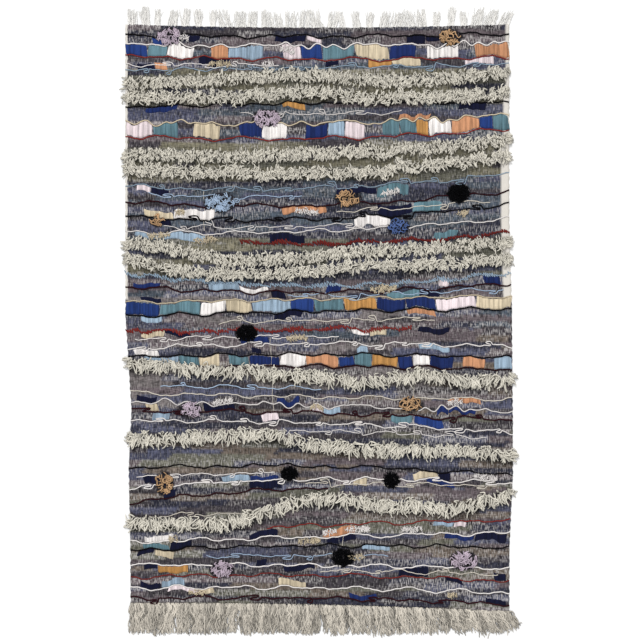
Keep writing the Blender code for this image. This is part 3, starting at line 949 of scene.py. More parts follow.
def beneath(tufts: Sequence[str], x: np.ndarray, y: np.ndarray, share: float) -> np.ndarray:
    """Tells which places lie beneath a tuft, out to a share of its half width."""
    inside = np.zeros(np.shape(x), bool)
    for name in tufts:
        low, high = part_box(name)
        middle, half = (low + high) / 2, (high - low) / 2
        inside |= ((x - middle.x) / half.x) ** 2 + ((y - middle.y) / half.y) ** 2 < share * share
    return inside


def grid_faces(columns: int, rows: int, first: int = 0) -> list[tuple[int, ...]]:
    """Returns the faces of a grid of points, row by row, facing up where rows run down and columns right."""
    faces = []
    for r in range(rows):
        for c in range(columns):
            i = first + r * (columns + 1) + c
            faces.append((i, i + columns + 1, i + columns + 2, i + 1))
    return faces


def grid_rim(columns: int, rows: int) -> list[int]:
    """Returns the outer points of a grid, in the order of its faces' corners."""
    wide = columns + 1
    left = [r * wide for r in range(rows)]
    bottom = [rows * wide + c for c in range(columns)]
    right = [r * wide + columns for r in range(rows, 0, -1)]
    return left + bottom + right + list(range(columns, 0, -1))


def close_under(rim: Sequence[int], first: int, under: int) -> list[tuple[int, ...]]:
    """Returns the walls and the underside that close a sheet.

    Args:
        rim: the outer points of its face, counted from the face's first point.
        first: the number of the face's first point.
        under: the number of the underside's first point.

    Returns:
        The faces, turned outwards.
    """
    count = len(rim)
    ends = [(i, (i + 1) % count) for i in range(count)]
    walls = [(first + rim[j], first + rim[i], under + i, under + j) for i, j in ends]
    return [*walls, tuple(under + i for i in reversed(range(count)))]


class Zone(NamedTuple):
    """A stretch of the cloth that shares its tints: down to a drop, and the tints that its patches take."""

    until: float
    tints: tuple[Tint, ...]


ZONES = (
    Zone(0.095, (Tint.DUSK, Tint.CHARCOAL, Tint.DUSK, Tint.CHARCOAL, Tint.NIGHT)),
    Zone(0.185, (Tint.DUSK, Tint.SLATE, Tint.CHARCOAL, Tint.STEEL)),
    Zone(0.335, (Tint.OLIVE, Tint.OLIVE, Tint.NIGHT, Tint.OLIVE, Tint.SAGE)),
    Zone(0.480, (Tint.DUSK, Tint.SLATE, Tint.CHARCOAL, Tint.SLATE, Tint.STEEL)),
    Zone(0.640, (Tint.OLIVE, Tint.OLIVE, Tint.SAGE, Tint.OLIVE, Tint.CHARCOAL)),
    Zone(0.885, (Tint.NIGHT, Tint.SLATE, Tint.STEEL, Tint.CHARCOAL, Tint.NIGHT, Tint.STEEL)),
    Zone(1.050, (Tint.OLIVE, Tint.CHARCOAL, Tint.SAGE, Tint.NIGHT, Tint.SLATE)),
    Zone(1.300, (Tint.CHARCOAL, Tint.SLATE, Tint.DUSK, Tint.NIGHT, Tint.ASH, Tint.STEEL)),
    Zone(1.620, (Tint.ASH, Tint.DUSK, Tint.SLATE, Tint.CHARCOAL, Tint.NIGHT, Tint.TAUPE)),
    Zone(2.050, (Tint.TAUPE, Tint.SLATE, Tint.CHARCOAL, Tint.NIGHT, Tint.SAGE, Tint.DUSK)),
    Zone(2.600, (Tint.TAUPE, Tint.DUSK, Tint.CHARCOAL, Tint.SAGE, Tint.SLATE, Tint.CHARCOAL, Tint.NIGHT)),
)


@dataclass
class Ground:
    """The woven ground, a closed thin sheet with a soft cockle, and its patches of dyed weft.

    Lengths are in metres, and the widths of patches and the places of columns are shares of the width. The
    bare selvages end at a drop, and the right one starts narrow and grows down to it. The shag's painted
    shadow on the weft is darkest at a drop from the row's crown, and the weft under the shaded tufts is
    painted as dark shade.
    """

    plan: RugPlan
    finishes: Finishes
    # The tufts whose weft beneath is painted as dark shade.
    shaded: Sequence[str] = ()
    columns: int = 168
    rows: int = 256
    extra_columns: tuple[float, float] = (0.0052, 0.0062)
    cockle: float = 0.0006
    pass_height: float = 0.027
    pass_waver: float = 0.006
    pass_slant: float = 0.5
    patch_width: tuple[float, float] = (0.05, 0.26)
    patch_shade: tuple[float, float] = (0.84, 1.16)
    bare_until: float = 1.14
    bare_left: float = 0.0092
    bare_right: float = 0.016
    bare_right_growth: float = 0.018
    growth_start: float = 0.1
    growth_length: float = 0.6
    shadow_drop: float = 0.020
    shadow_width: float = 0.026
    # How far out the painted shade under a tuft reaches, as a share of its half width.
    tuft_cover: float = 1.02
    seed: int = 11

    # Keeps the numbers of the passes of one lane apart from those of the next.
    LANE_KEY = 1000

    def _patches(self, share: np.ndarray, drop: np.ndarray) -> dict[str, np.ndarray]:
        """Works out the weft's colour and wear, in passes that end at random places, with painted shade by the
        pile.

        Args:
            share: each vertex's share across.
            drop: each vertex's drop.

        Returns:
            The attributes by name.
        """
        lane = np.zeros(share.shape, int)
        for course in COURSES:
            lane += drop > course.drop(share)
        band = np.floor((drop + self.pass_waver * np.sin(share * 9 + drop * 5)) / self.pass_height).astype(int)
        key = lane * self.LANE_KEY + band
        tint, worn = np.zeros((*share.shape, 3)), np.zeros(share.shape)
        for number in np.unique(key):
            inside = key == number
            spread = random.Random(self.seed + int(number) * 31)
            middle = float(drop[inside].mean())
            tints = next(zone.tints for zone in ZONES if middle < zone.until)
            cuts = [spread.uniform(0.0, 0.2)]
            while cuts[-1] < 1.0:
                cuts.append(cuts[-1] + spread.uniform(*self.patch_width))
            amounts = [spread.uniform(*self.patch_shade) for _ in range(len(cuts) + 1)]
            colours = np.array([np.array(linear(spread.choice(tints).value)) * amount for amount in amounts])
            wear = np.array([spread.random() ** 1.5 for _ in range(len(cuts) + 1)])
            which = np.searchsorted(cuts, share[inside] + self.pass_slant * (drop[inside] - middle))
            tint[inside], worn[inside] = colours[which], wear[which]
        self._shade_pile(share, drop, tint, worn)
        left, right = self.plan.sides(drop)
        width = right - left
        grown = smooth_step((drop - self.growth_start) / self.growth_length)
        strip = self.bare_right + self.bare_right_growth * grown
        bare = (drop < self.bare_until) & ((share * width < self.bare_left) | ((1 - share) * width < strip))
        return {"tint": tint, "worn": worn, "bare": bare.astype(float)}

    def _shade_pile(self, share: np.ndarray, drop: np.ndarray, tint: np.ndarray, worn: np.ndarray) -> None:
        """Paints shade on the weft below each shag row and dark under the tufts, with fewer pale flecks there.
        """
        x, y = self.plan.place(share, drop)
        for name, pile in PILES.items():
            xs, ys = crown_line(bpy.data.objects[name], self.plan.thick)
            away = np.interp(x, xs, ys) - y
            # Painted shadow below the row: the weft gets darker and loses pale flecks.
            pile_shadow = np.exp(-((away - self.shadow_drop) / self.shadow_width) ** 2)
            pile_shadow *= 0.75 + 0.25 * np.sin(x * 19 + drop * 7)
            tint *= (1 - pile.shade * pile_shadow)[:, None]
            worn *= 1 - pile_shadow
        # Painted shade under the tufts: the weft there is near black, with no pale flecks.
        inside = beneath(self.shaded, x, y, self.tuft_cover)
        tint[inside], worn[inside] = linear(Tint.SOOT.value), 0.0

    def build(self) -> bpy.types.Object:
        """Builds the sheet, from its face round to its flat underside."""
        across = np.sort(np.append(np.linspace(0, 1, self.columns - 1), self.extra_columns))
        share, depth = np.meshgrid(across, np.linspace(0, 1, self.rows + 1))
        share, depth = share.ravel(), depth.ravel()
        # The upper end and the selvages waver by a millimetre or two.
        uneven = 0.0009 * np.sin(share * 347 + 2 * np.sin(share * 29)) + 0.0009 * np.sin(share * 131)
        upper, hem = self.plan.upper(share) + uneven, self.plan.hem(share)
        drop = upper + (hem - upper) * depth
        x, y = self.plan.place(share, drop)
        ragged = 0.0012 * np.sin(drop * 190) + 0.0009 * np.sin(drop * 443 + 1)
        x = x + ragged * (smooth_step(1 - share * 40) + smooth_step(share * 40 - 39))
        swell = np.sin(x * 31 + 2 * np.sin(y * 17)) * np.sin(y * 47 + 2 * np.sin(x * 13))
        z = self.plan.thick + self.cockle * (swell + 0.5 * np.sin(y * 139 + x * 23))
        face = np.stack([x, y, z], axis=1)
        rim = grid_rim(self.columns, self.rows)
        under = face[rim] * (1, 1, 0)
        faces = grid_faces(self.columns, self.rows) + close_under(rim, 0, len(face))
        points = np.concatenate([face, under])
        patches = self._patches(share, drop)
        kept = {name: np.concatenate([values, values[rim]]) for name, values in patches.items()}
        mesh = mesh_of("ground", points, faces, **kept)
        weave = mesh.uv_layers.new(name="weave")
        corners = np.empty(len(mesh.loops), np.int32)
        mesh.loops.foreach_get("vertex_index", corners)
        places = np.stack([points[:, 0] + 1.0, self.plan.top - points[:, 1]], axis=1)
        weave.data.foreach_set("uv", places[corners].astype(np.float32).ravel())
        mesh.shade_smooth()
        cloth = add_object("ground_cloth", mesh, self.finishes.of(GroundWeave()))
        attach(cloth, BODY)
        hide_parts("cloth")
        return cloth


class BlockPatch:
    """The mesh of one colour's blocks, added to patch by patch."""

    # Its columns are a cord wide, and its ends lean by up to a share of the rug's width. It rises over the
    # cloth and bulges in upright ribs, its rim dips by a share of its rise, and its underside is sunk in the
    # cloth. Lengths are in metres.
    COLUMN = 0.0042
    ROWS = 5
    LEAN = 0.006
    RISE = 0.0014
    RIB_WIDTH = (0.015, 0.026)
    RIB_HEIGHT = 0.0005
    RIM_DIP = 0.35
    SUNK = 0.0016

    def __init__(self, plan: RugPlan) -> None:
        """Starts empty."""
        self.plan = plan
        self.points: list[np.ndarray] = []
        self.faces: list[tuple[int, ...]] = []
        self.tones: list[np.ndarray] = []
        self.count = 0

    def add(
        self,
        start: float,
        end: float,
        above: Callable[[np.ndarray], np.ndarray],
        below: Callable[[np.ndarray], np.ndarray],
        spread: random.Random,
    ) -> None:
        """Adds one block between two lines, as a closed low cushion of weft with upright ribs.

        Args:
            start: its left end, as a share across.
            end: its right end.
            above: the drop of its upper edge at a share.
            below: the drop of its lower edge.
            spread: where its unevenness comes from.
        """
        width = (end - start) * 2 * HALF_WIDTH
        columns, rows = max(6, round(width / self.COLUMN)), self.ROWS
        share, depth = np.meshgrid(np.linspace(0, 1, columns + 1), np.linspace(0, 1, rows + 1))
        share, depth = share.ravel(), depth.ravel()
        lean = spread.uniform(-self.LEAN, self.LEAN)
        across = start + (end - start) * share + lean * (depth - 0.5)
        upper, lower = above(across), below(across)
        drop = upper + (lower - upper) * depth
        x, y = self.plan.place(across, drop)
        inset = np.minimum(np.minimum(share, 1 - share) * columns, np.minimum(depth, 1 - depth) * rows)
        crown = np.where(inset < 0.5, -self.RIM_DIP, 1.0)
        ribs = np.cos(2 * math.pi * (share * width / spread.uniform(*self.RIB_WIDTH)) + spread.uniform(0, 6))
        z = self.plan.thick + self.RISE * crown + self.RIB_HEIGHT * ribs * (crown > 0)
        top = np.stack([x, y, z], axis=1)
        rim = grid_rim(columns, rows)
        base = top[rim] * (1, 1, 0) + (0, 0, self.plan.thick - self.SUNK)
        self.faces += grid_faces(columns, rows, self.count)
        self.faces += close_under(rim, self.count, self.count + len(top))
        self.points += [top, base]
        added = len(top) + len(base)
        self.tones.append(np.full(added, spread.random()))
        self.count += added

    def build(self, name: str, material: bpy.types.Material) -> bpy.types.Object:
        """Makes the colour's blocks one object."""
        mesh = mesh_of(name, np.concatenate(self.points), self.faces, tone=np.concatenate(self.tones))
        mesh.shade_smooth()
        return add_object(name, mesh, material)


@dataclass
class Blocks:
    """The coloured weft blocks: full bands between pairs of courses, and loose ones scattered over the lanes.

    The gap is between a block and its course, in metres. The seams are between the blocks of a band and those
    of a chain. Like the other sizes across they are shares of the width.
    """

    plan: RugPlan
    finishes: Finishes
    seed: int = 5
    gap: float = 0.0012
    band_seam: float = 0.0004
    chain_seam: float = 0.0006
    patches: dict[Dye, BlockPatch] = field(default_factory=dict)

    BAND_DYES = (
        Dye.TEAL, Dye.OCHRE, Dye.NAVY, Dye.WHITE, Dye.CREAM, Dye.NAVY, Dye.APRICOT, Dye.PALE_BLUE,
        Dye.ROSE_WHITE, Dye.COBALT, Dye.TEAL, Dye.CREAM,
    )
    LOOSE_DYES = (
        (Dye.INK, 15), (Dye.NAVY, 4), (Dye.COBALT, 1), (Dye.TEAL, 3), (Dye.PALE_BLUE, 2), (Dye.OCHRE, 2),
        (Dye.APRICOT, 2), (Dye.CREAM, 3), (Dye.WHITE, 2), (Dye.ROSE_WHITE, 2),
    )

    # A band's openings, the share past which its last block runs on to the selvage, and how many dyes its
    # turn goes on by.
    OPENING = (0.02, 0.05)
    LAST_CUT = 0.96
    TURNS = (1, 1, 2, 3)

    # Loose blocks: how many a chain has, the range of their widths and heights, the least of each that is
    # woven, how far they keep from the other course, the tallest lane that one may fill and the tallest lane
    # that holds any. Heights are in metres.
    CHAIN = (1, 1, 1, 2, 2)
    WIDTH = (0.022, 0.078)
    HEIGHT = (0.015, 0.032)
    LEAST_WIDTH = 0.014
    LEAST_HEIGHT = 0.012
    CLEARANCE = 0.004
    FULL_ROOM = 0.042
    LANE_ROOM = 0.09

    # The first is cut in by up to a share. They are larger in the open lanes between two drops, end short of
    # the bare selvage down to a drop, and lie further apart below a drop.
    FIRST_CUT = 0.10
    LAST_ROOM = 0.03
    OPEN_DROPS = (0.60, 0.90)
    OPEN_SIZE, SIZE = 1.6, 1.15
    BARE_DROP = 1.10
    BARE_LAST, LAST = 0.972, 0.992
    SPARSE_DROP = 1.40
    SPACING, SPARSE_SPACING = (0.05, 0.24), (0.08, 0.32)

    # The free edge: the height of its steps and how far it slopes, as shares of the block's height, and the
    # least height that is left where the lane closes up, in metres.
    EDGE_STEP = 0.07
    EDGE_SLOPE = 0.15
    THINNEST = 0.003

    def _patch(self, dye: Dye) -> BlockPatch:
        """Returns the colour's patch mesh, started if need be."""
        return self.patches.setdefault(dye, BlockPatch(self.plan))

    def _fill_band(self, band: Band, spread: random.Random) -> None:
        """Fills one band with blocks from selvage to selvage."""
        above, below = COURSES[band.above], COURSES[band.above + 1]
        turn = spread.randrange(len(self.BAND_DYES))
        cut = 0.0
        while cut < 1.0:
            if band.opens and spread.random() < band.opens:
                cut += spread.uniform(*self.OPENING)
            end = cut + spread.uniform(band.shortest, band.longest) / (2 * HALF_WIDTH)
            end = 1.0 if end > self.LAST_CUT else end
            self._patch(self.BAND_DYES[turn % len(self.BAND_DYES)]).add(
                cut + self.band_seam,
                end - self.band_seam,
                lambda s: above.drop(s) + self.gap,
                lambda s: below.drop(s) - self.gap,
                spread,
            )
            turn += spread.choice(self.TURNS)
            cut = end

    def _scatter(self, lane: int, spread: random.Random) -> None:
        """Lays short chains of blocks in one lane, against its upper or lower course."""
        above, below = COURSES[lane], COURSES[lane + 1]
        dyes, weights = zip(*self.LOOSE_DYES)
        at = above.bow.middle
        last = self.BARE_LAST if at < self.BARE_DROP else self.LAST
        size = self.OPEN_SIZE if self.OPEN_DROPS[0] < at < self.OPEN_DROPS[1] else self.SIZE
        spacing = self.SPACING if at < self.SPARSE_DROP else self.SPARSE_SPACING
        cut = spread.uniform(0.0, self.FIRST_CUT)
        while cut < last - self.LAST_ROOM:
            hangs = spread.random() < 0.5
            for _ in range(spread.choice(self.CHAIN)):
                end = min(last, cut + size * spread.uniform(*self.WIDTH))
                middle = (cut + end) / 2
                room = float(below.drop(middle) - above.drop(middle))
                height = min(room - self.CLEARANCE, size * spread.uniform(*self.HEIGHT))
                if height > self.LEAST_HEIGHT and end - cut > self.LEAST_WIDTH:
                    dye = spread.choices(dyes, weights)[0]
                    full = room < self.FULL_ROOM and spread.random() < 0.5
                    edges = self._edges(above, below, hangs, full, height, spread)
                    self._patch(dye).add(cut, end, *edges, spread)
                cut = end + self.chain_seam
            cut += size**2 * spread.uniform(*spacing)

    def _edges(
        self, above: Course, below: Course, hangs: bool, full: bool, height: float, spread: random.Random
    ) -> tuple[Callable, Callable]:
        """Returns the upper and lower edge of a loose block.

        Args:
            above: the course over the lane.
            below: the course under it.
            hangs: whether the block hangs from the upper course or stands on the lower one.
            full: whether it fills the lane from course to course.
            height: its mean height.
            spread: where its unevenness comes from.

        Returns:
            The two edges, as drops for shares.
        """
        phase, slope = spread.uniform(0, 6), spread.uniform(-self.EDGE_SLOPE, self.EDGE_SLOPE)

        def depth(share: np.ndarray) -> np.ndarray:
            """Returns the block's height, with a stepped free edge that keeps off the other course."""
            steps = np.round(1.4 * np.sin(share * 150 + phase)) * self.EDGE_STEP
            room = below.drop(share) - above.drop(share) - 3 * self.gap
            free = height * (1 + steps + slope * np.sin(share * 60 + phase))
            return np.minimum(free, np.maximum(room, self.THINNEST))

        if full:
            return lambda s: above.drop(s) + self.gap, lambda s: below.drop(s) - self.gap
        if hangs:
            return lambda s: above.drop(s) + self.gap, lambda s: above.drop(s) + self.gap + depth(s)
        return lambda s: below.drop(s) - self.gap - depth(s), lambda s: below.drop(s) - self.gap

    def build(self) -> list[bpy.types.Object]:
        """Builds one object for each colour of block."""
        spread = random.Random(self.seed)
        full = {band.above for band in BANDS}
        for band in BANDS:
            self._fill_band(band, spread)
        for lane in range(len(COURSES) - 1):
            room = COURSES[lane + 1].bow.middle - COURSES[lane].bow.middle
            if lane not in full and room < self.LANE_ROOM:
                self._scatter(lane, spread)
        made = []
        for dye, patch in self.patches.items():
            blocks = patch.build(f"blocks_{dye.name.lower()}", self.finishes.of(WeftBlock(dye)))
            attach(blocks, BODY)
            made.append(blocks)
        return made


@dataclass
class Outlines:
    """The raised outlining yarns that mark the courses.

    Radii, the slubs' step and their rise are in metres, and the yarns' step is a share of the width. A yarn's
    middle line is a share of its radius over the cloth, and it stops at a share of the way out of a tuft.
    """

    plan: RugPlan
    finishes: Finishes
    tree: OutlineTree
    tufts: Sequence[str]
    step: float = 0.0045
    risen: float = 0.72
    tuft_cover: float = 0.86
    stray_radius: float = 0.0018
    slub_radius: float = 0.0013
    slub_step: float = 0.012
    slub_rise: float = 0.0006
    slub_waver: float = 0.0012
    slub_tone: float = 0.7
    slub_seed: int = 50

    PALE = (Dye.WHITE, Dye.CREAM, Dye.GREIGE, Dye.SKY, Dye.PALE_BLUE)
    # Pale yarns take less painted shade on their sides.
    PALE_FINISH = {"dark": 0.68, "light": 1.14, "side_shade": 0.15}

    # The points of a hook, across and down, as shares of its size and its rise, and how far on it ends.
    # Sizes and the ways to the first and the next hook are shares of the width, and rises are in metres.
    HOOK = ((1.0, -0.3), (1.15, 0.3), (0.1, 0.9), (-0.1, 1.5), (1.2, 1.7))
    HOOK_END = 1.7
    HOOK_SIZE = (0.007, 0.017)
    HOOK_RISE = (0.006, 0.010)
    FIRST_HOOK = (0.03, 0.10)
    NEXT_HOOK = (0.03, 0.16)
    LAST_HOOK = 0.03

    # A scribble's strokes: how far they go up or down, in metres, how far back and forth, and how far on.
    STROKE = (0.004, 0.014)
    STROKE_LEAN = 0.0022
    STROKE_STEP = (0.0016, 0.0044)

    def _path(self, course: Course, spread: random.Random) -> list[tuple[float, float]]:
        """Returns the yarn's way as shares and drops, with its hooks or scribbles.

        Args:
            course: the course that it marks.
            spread: where the hooks come from.

        Returns:
            The points from left to right.
        """
        path = []
        share = course.start
        until_hook = spread.uniform(*self.FIRST_HOOK)
        while share < course.end:
            drop = float(course.drop(share))
            if course.lie is Lie.SCRIBBLED:
                side = 1 if len(path) % 2 else -1
                full = 0.4 + 0.6 * abs(math.sin(share * 31 + course.phase))
                stroke = side * full * spread.uniform(*self.STROKE)
                path.append((share + side * self.STROKE_LEAN, drop + stroke))
                share += spread.uniform(*self.STROKE_STEP)
                continue
            path.append((share, drop))
            share += self.step
            until_hook -= self.step
            if course.lie is Lie.HOOKED and until_hook < 0 and share < course.end - self.LAST_HOOK:
                size = spread.uniform(*self.HOOK_SIZE)
                rise = spread.choice((-1, 1)) * spread.uniform(*self.HOOK_RISE)
                path += [(share + size * across, drop + rise * down) for across, down in self.HOOK]
                share += size * self.HOOK_END
                until_hook = spread.uniform(*self.NEXT_HOOK)
        path.append((course.end, float(course.drop(course.end))))
        return path

    def _guides(self, courses: Sequence[Course], seed: int) -> bpy.types.Mesh:
        """Makes the middle lines of several yarns one mesh of edges."""
        spread = random.Random(seed)
        points, edges, tones = [], [], []
        for course in courses:
            path = np.array(self._path(course, spread))
            x, y = self.plan.place(path[:, 0], path[:, 1])
            between = (x[:-1] + x[1:]) / 2, (y[:-1] + y[1:]) / 2
            hidden = beneath(self.tufts, *between, self.tuft_cover)
            first = len(points)
            points += [(px, py, self.plan.thick + course.radius * self.risen) for px, py in zip(x, y)]
            edges += [(first + i, first + i + 1) for i in range(len(x) - 1) if not hidden[i]]
            tones += [spread.random()] * (len(points) - first)
        return mesh_of("guides", points, edges=edges, tone=tones)

    def build_slubs(self) -> bpy.types.Object:
        """Builds the thin yarns that run along the warp."""
        points, edges = [], []
        for slub in SLUBS:
            drops = np.arange(slub.top, slub.bottom, self.slub_step)
            x, y = self.plan.place(slub.share + self.slub_waver * np.sin(drops * 60), drops)
            hidden = beneath(self.tufts, x, y, 1.0)
            first = len(points)
            points += [(px, py, self.plan.thick + self.slub_rise) for px, py in zip(x, y)]
            ends = [i for i in range(len(x) - 1) if not (hidden[i] or hidden[i + 1])]
            edges += [(first + i, first + i + 1) for i in ends]
        guides = mesh_of("guides", points, edges=edges, tone=[self.slub_tone] * len(points))
        finish = self.finishes.of(WoolYarn(Dye.GREIGE))
        slubs = self.tree.run("slubs", guides, finish, Radius=self.slub_radius, Seed=self.slub_seed)
        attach(slubs, BODY)
        return slubs

    def build(self) -> list[bpy.types.Object]:
        """Builds one object for each colour of outlining and of stray yarn, and the slubs."""
        made = []
        for kind, group, radius in (("outline", COURSES, None), ("stray", STRAYS, self.stray_radius)):
            for seed, dye in enumerate(sorted({course.dye for course in group}, key=lambda d: d.name)):
                courses = [course for course in group if course.dye is dye]
                pale = self.PALE_FINISH if dye in self.PALE else {}
                yarn = self.tree.run(
                    f"{kind}_{dye.name.lower()}",
                    self._guides(courses, seed),
                    self.finishes.of(WoolYarn(dye, **pale)),
                    Radius=radius or sum(course.radius for course in courses) / len(courses),
                    Seed=seed,
                )
                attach(yarn, BODY)
                made.append(yarn)
        return [*made, self.build_slubs()]


class Roots:
    """The points that a pile grows from, each with how its yarn lies."""

    NAMES = ("heading", "reach", "lift", "land", "curl", "loop", "girth", "tone")

    def __init__(self) -> None:
        """Starts with none."""
        self.points: list[tuple[float, float, float]] = []
        self.values: dict[str, list[float]] = {name: [] for name in self.NAMES}

    def add(self, x: float, y: float, z: float, **values: float) -> None:
        """Adds a root.

        Args:
            x: its place across.
            y: its place along.
            z: its height.
            values: its heading in radians, its reach, lift, landing height and curl in metres, loop from 0
                for an open end to 1 for a loop, girth as a share of the radius, and tone from 0 to 1.
        """
        self.points.append((x, y, z))
        for name in self.NAMES:
            self.values[name].append(values.get(name, 1.0 if name == "girth" else 0.0))

    def mesh(self) -> bpy.types.Mesh:
        """Makes them a mesh of loose points with attributes."""
        return mesh_of("roots", self.points, [], root=np.array(self.points), **self.values)


@dataclass(frozen=True)
class Pile:
    """How the yarns of a kind of shag lie.

    Lengths are in metres, and the root band is a share of the row's width. Upward and looped are shares of
    the yarns, spread is how far their lean varies in radians, and short_top is the upward ones' share of the
    reach. Shade is how dark the painted shadow on the cloth beneath them is.
    """

    width: float
    roots_per_metre: float
    radius: float
    reach: tuple[float, float]
    lift: tuple[float, float]
    curl: float
    spread: float
    upward: float
    root_band: tuple[float, float]
    stack: float
    looped: float
    kink: float
    short_top: float = 1.0
    points: int = 5
    shade: float = 0.86
    # Painted shade on the yarns' sides.
    side_shade: float = 0.42
    overhang: tuple[float, float] = (0.008, 0.027)


DENSE_PILE = Pile(
    width=0.050, roots_per_metre=1060, radius=0.0026, reach=(0.009, 0.018), lift=(0.002, 0.006), curl=0.004,
    spread=0.45, upward=0.36, root_band=(-0.42, 0.44), stack=0.010, looped=0.40, kink=0.004, shade=0.45,
    side_shade=0.30,
)
SPIKY_PILE = Pile(
    width=0.050, roots_per_metre=760, radius=0.0027, reach=(0.012, 0.024), lift=(0.002, 0.007), curl=0.006,
    spread=0.80, upward=0.45, root_band=(-0.36, 0.38), stack=0.010, looped=0.40, kink=0.006, shade=0.74,
)
LONG_PILE = Pile(
    width=0.060, roots_per_metre=430, radius=0.0030, reach=(0.026, 0.048), lift=(0.003, 0.008), curl=0.010,
    spread=0.48, upward=0.20, root_band=(-0.04, 0.44), stack=0.010, looped=0.30, kink=0.010, short_top=0.35,
    points=7, overhang=(0.010, 0.034),
)

PILES = {
    "shag_a1": DENSE_PILE, "shag_b1": DENSE_PILE, "shag_c1": DENSE_PILE,
    "shag_a2": SPIKY_PILE, "shag_b2": SPIKY_PILE, "shag_c2": SPIKY_PILE,
    "shag_d": LONG_PILE, "shag_e": LONG_PILE, "shag_f": LONG_PILE,
}


@dataclass
class ShagRow:
    """One row of shag, which follows its solid's crown from end to end."""

    node: bpy.types.Object
    plan: RugPlan
    finishes: Finishes
    tree: PileTree
    pile: Pile
    seed: int

    # The yarns within the margin of a selvage hang over it, and those of some rows keep close at the right.
    MARGIN = 0.012
    CLOSE_ROWS = ("shag_a1", "shag_a2")
    CLOSE_REACH = (0.003, 0.012)

    # How far the row wavers from its crown, in metres, and how far its yarns are combed to and fro and may
    # lean at most, in radians.
    WAVER = 0.003
    COMBED = 0.35
    MOST_LEAN = 1.35

    def _end_yarn(self, x: float, y: float, spread: random.Random) -> dict[str, float]:
        """Returns how a yarn at a selvage hangs over it, or nothing for a yarn that is further in."""
        left, right = (float(side) for side in self.plan.sides(self.plan.top - y))
        if left + self.MARGIN < x < right - self.MARGIN:
            return {}
        out = -1 if x < 0 else 1
        reach = self.CLOSE_REACH if out > 0 and self.node.name in self.CLOSE_ROWS else self.pile.overhang
        return {
            "x": (left if out < 0 else right) - out * spread.uniform(0.003, 0.018),
            "heading": (0.0 if out > 0 else math.pi) - out * spread.gauss(0.2, 0.45),
            "reach": spread.uniform(*reach),
            "land": self.pile.radius * 1.2,
        }

    def build(self) -> bpy.types.Object:
        """Grows the row."""
        spread = random.Random(self.seed)
        xs, ys = crown_line(self.node, self.plan.thick)
        low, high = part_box(self.node.name)
        roots, pile = Roots(), self.pile
        start, end = low.x + self.MARGIN, high.x - self.MARGIN
        base = self.plan.thick + pile.radius * 0.8
        for _ in range(round((end - start) * pile.roots_per_metre)):
            x = spread.uniform(start, end)
            y = float(np.interp(x, xs, ys)) + self.WAVER * math.sin(x * 61 + self.seed)
            y += spread.uniform(*pile.root_band) * pile.width
            up = 1 if spread.random() < pile.upward else -1
            layer = spread.random()
            lean = self.COMBED * math.sin(x * 23 + self.seed) + spread.gauss(0, pile.spread)
            values = {
                "x": x,
                "heading": up * math.pi / 2 + max(-self.MOST_LEAN, min(self.MOST_LEAN, lean)),
                "reach": spread.uniform(*pile.reach) * (pile.short_top if up > 0 else 1),
                "land": base + layer * pile.stack * 0.6,
            }
            values |= self._end_yarn(x, y, spread)
            roots.add(
                y=y,
                z=base + layer * pile.stack,
                lift=spread.uniform(*pile.lift),
                curl=spread.uniform(-1, 1) * pile.curl,
                loop=float(spread.random() < pile.looped),
                girth=spread.uniform(0.8, 1.2),
                # Half of the tone is painted shade: the lower a yarn lies in the pile, the darker it is.
                tone=0.5 * layer + 0.5 * spread.random(),
                **values,
            )
        # Painted shade at the yarns' roots and on their sides.
        finish = WoolYarn(Dye.IVORY, dark=0.32, light=1.14, shaded=0.20, side_shade=pile.side_shade)
        row = self.tree.run(
            f"pile_{self.node.name}", roots.mesh(), self.finishes.of(finish),
            Radius=pile.radius, Points=pile.points, Sides=4, Waves=1.2,
            Kink=pile.kink, Kink_Size=0.02, Taper=0.2,
        )
        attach(row, BODY)
        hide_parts(self.node.name)
        return row


@dataclass(frozen=True)
class TuftYarn:
    """The yarn of a kind of tuft: its roots in a square metre, its radius in metres, its points and taper."""

    density: int
    radius: float
    points: int
    taper: float


HOOKED_YARN = TuftYarn(density=5600, radius=0.0027, points=8, taper=0.1)
CUT_YARN = TuftYarn(density=44000, radius=0.0019, points=4, taper=0.35)


